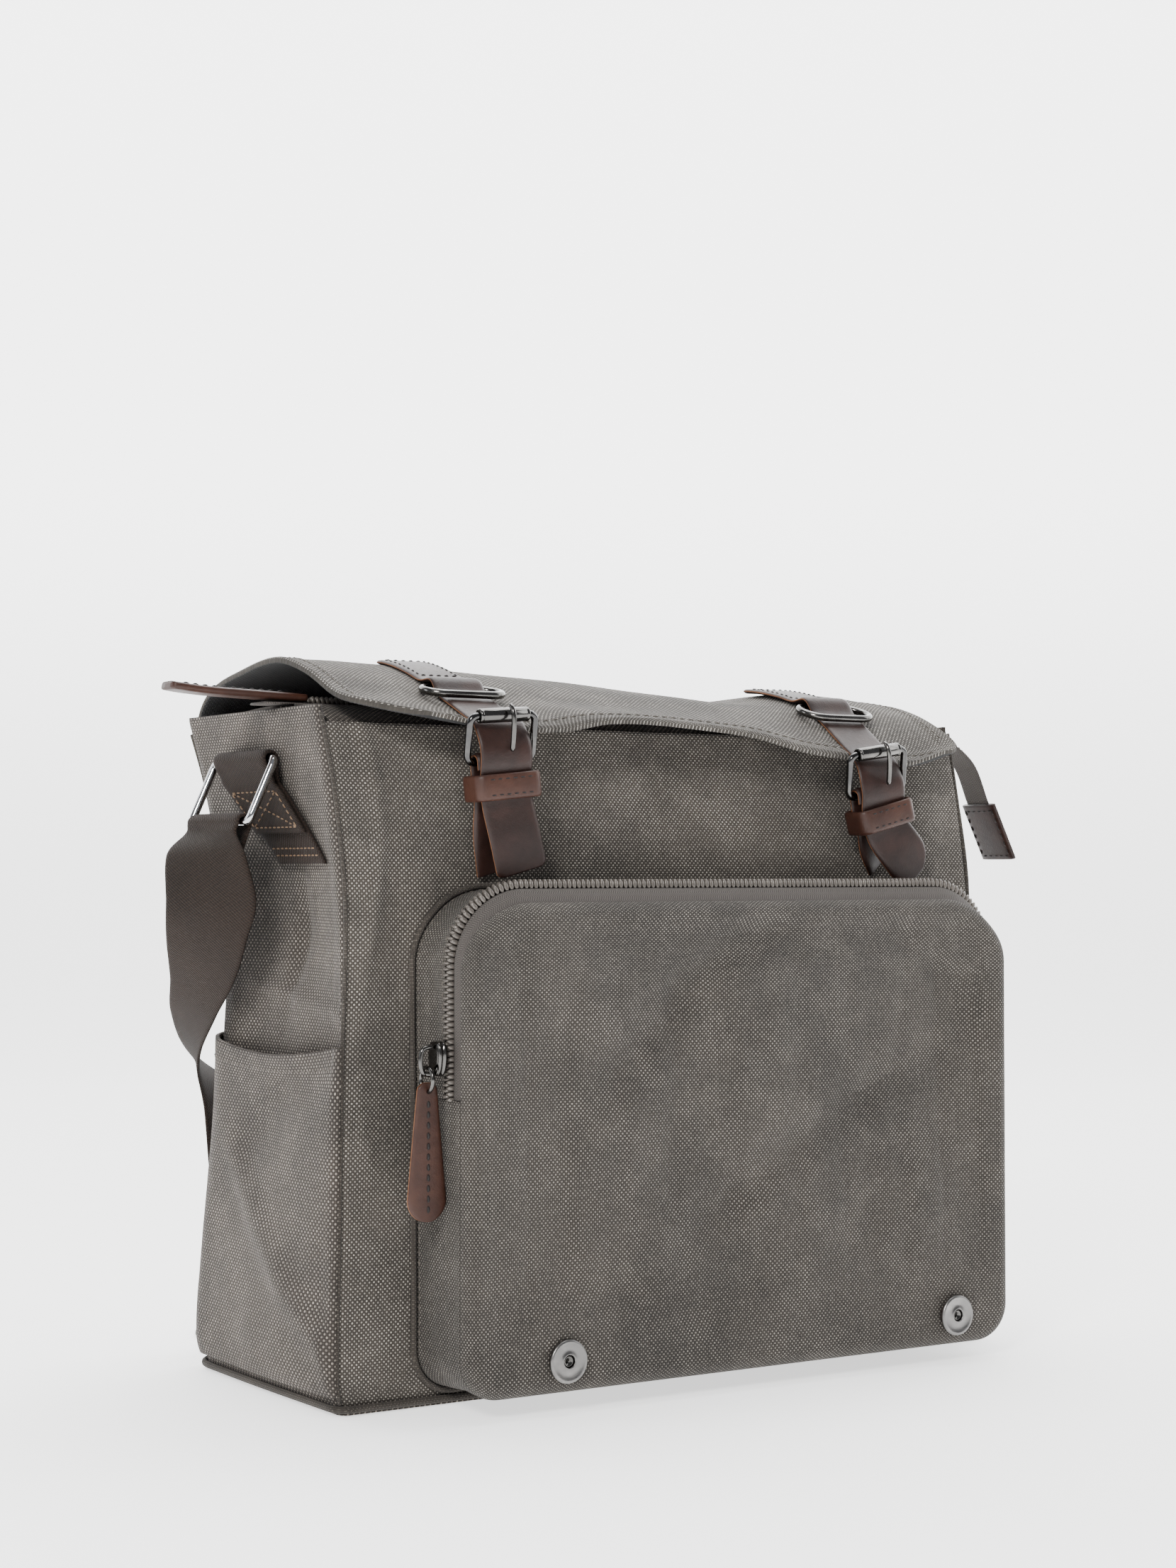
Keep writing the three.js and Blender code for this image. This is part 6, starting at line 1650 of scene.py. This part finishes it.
tan_rows = []
for side in ("left", "right"):
    ring_top, rows = side_anchor(side)
    tan_rows += rows
    ring_foot, ring_wide = side_ring(side, ring_top)
    if side == "left":
        left_foot, left_wide = ring_foot, ring_wide
shoulder_strap(left_foot, left_wide)

for label, rows, thread, slot in (("canvas_stitching", canvas_rows, THREAD, "canvas"),
                                  ("leather_stitching", leather_rows, THREAD_DARK, "leather"),
                                  ("anchor_stitching", tan_rows, THREAD_TAN, "webbing")):
    points, faces = joined(rows)
    mesh_piece(label, points, faces, thread, (), merge_uv(points))


# ---- Floor, light and camera ------------------------------------------------------------------------------

def stage_finish(name, colour, rough):
    """Pale paper that glows: less on the floor, fully at a height of 0.9 m."""
    f = Finish(name, rough, Emission_Strength=3.4)
    clouds = f.noise(f.place(), 1.3, 2.0)
    wall = f.split(f.place())[2].step(0.0, 0.9)
    f.feed(f.shader.inputs["Emission Color"], f.blend(wall, (0.36, 0.36, 0.36), (1.0, 1.0, 1.0)))
    f.colour(f.blend(clouds, colour, tuple(c * 0.985 for c in colour)))
    return f.material


def backdrop():
    """A floor that rises behind the bag in one curve."""
    t = np.linspace(0, 1, 40)
    y = np.concatenate([[-6, -3, 0, 1.5], 1.5 + 1.6 * np.sin(t * math.pi / 2), [3.1]])
    z = np.concatenate([[0, 0, 0, 0], 1.6 * (1 - np.cos(t * math.pi / 2)), [9.0]])
    x = np.linspace(-7, 7, 12)
    turn = math.radians(-33)
    grid = np.stack(np.broadcast_arrays(x[None, :], y[:, None], z[:, None]), axis=-1)
    gx = grid[..., 0] * math.cos(turn) - grid[..., 1] * math.sin(turn)
    gy = grid[..., 0] * math.sin(turn) + grid[..., 1] * math.cos(turn)
    points = np.stack([gx, gy, grid[..., 2]], axis=-1)
    mesh = bpy.data.meshes.new("backdrop")
    mesh.from_pydata(points.reshape(-1, 3).tolist(), [], grid_faces(len(y), 12).tolist())
    mesh.polygons.foreach_set("use_smooth", np.full(len(mesh.polygons), True))
    mesh.materials.append(stage_finish("pale paper", (0.93, 0.93, 0.925), 0.9))
    obj = bpy.data.objects.new("backdrop", mesh)
    bpy.context.scene.collection.objects.link(obj)


def area(name, place, target, size, power, colour=(1, 1, 1)):
    """A rectangular light at a place in metres, turned to a target."""
    light = bpy.data.lights.new(name, "AREA")
    light.shape, light.size, light.size_y = "RECTANGLE", size[0], size[1]
    light.energy, light.color = power, colour
    obj = bpy.data.objects.new(name, light)
    obj.location = place
    obj.rotation_euler = (Vector(target) - Vector(place)).to_track_quat("-Z", "Y").to_euler()
    bpy.context.scene.collection.objects.link(obj)


def lights():
    """A dim even world and four soft lights."""
    world = bpy.data.worlds.new("soft room")
    world.use_nodes = True
    world.node_tree.nodes["Background"].inputs[0].default_value = (0.93, 0.95, 1.0, 1)
    world.node_tree.nodes["Background"].inputs[1].default_value = 0.3
    bpy.context.scene.world = world
    area("key light", (-1.8, -1.5, 1.55), (0, 0, 0.15), (0.6, 0.6), 60.0, (1.0, 0.985, 0.96))
    area("top light", (0.3, 0.3, 2.4), (0, 0, 0.2), (1.6, 1.6), 60.0)
    area("side light", (-2.2, 0.9, 1.0), (0, 0, 0.15), (0.7, 1.2), 12.0, (0.95, 0.97, 1.0))
    area("right light", (2.2, -0.9, 1.3), (0.1, 0, 0.15), (0.8, 1.2), 15.0)


def camera():
    """The photograph's view: from the front left, a little below the middle of the bag, looking slightly up."""
    azimuth, pitch = math.radians(-33.0), math.radians(1.8)
    focal, photo_height = 3790.0, 2212  # pixels
    data = bpy.data.cameras.new("photo camera")
    data.sensor_fit, data.sensor_height, data.sensor_width = "VERTICAL", 36.0, 36.0
    data.lens = focal / photo_height * 36.0
    data.clip_start, data.clip_end = 0.05, 50
    obj = bpy.data.objects.new("photo camera", data)
    forward = Vector((-math.sin(azimuth) * math.cos(pitch), math.cos(azimuth) * math.cos(pitch), math.sin(pitch)))
    obj.location = (-0.684, -1.046, 0.223)
    obj.rotation_euler = forward.to_track_quat("-Z", "Y").to_euler()
    bpy.context.scene.collection.objects.link(obj)
    bpy.context.scene.camera = obj


backdrop()
lights()
camera()
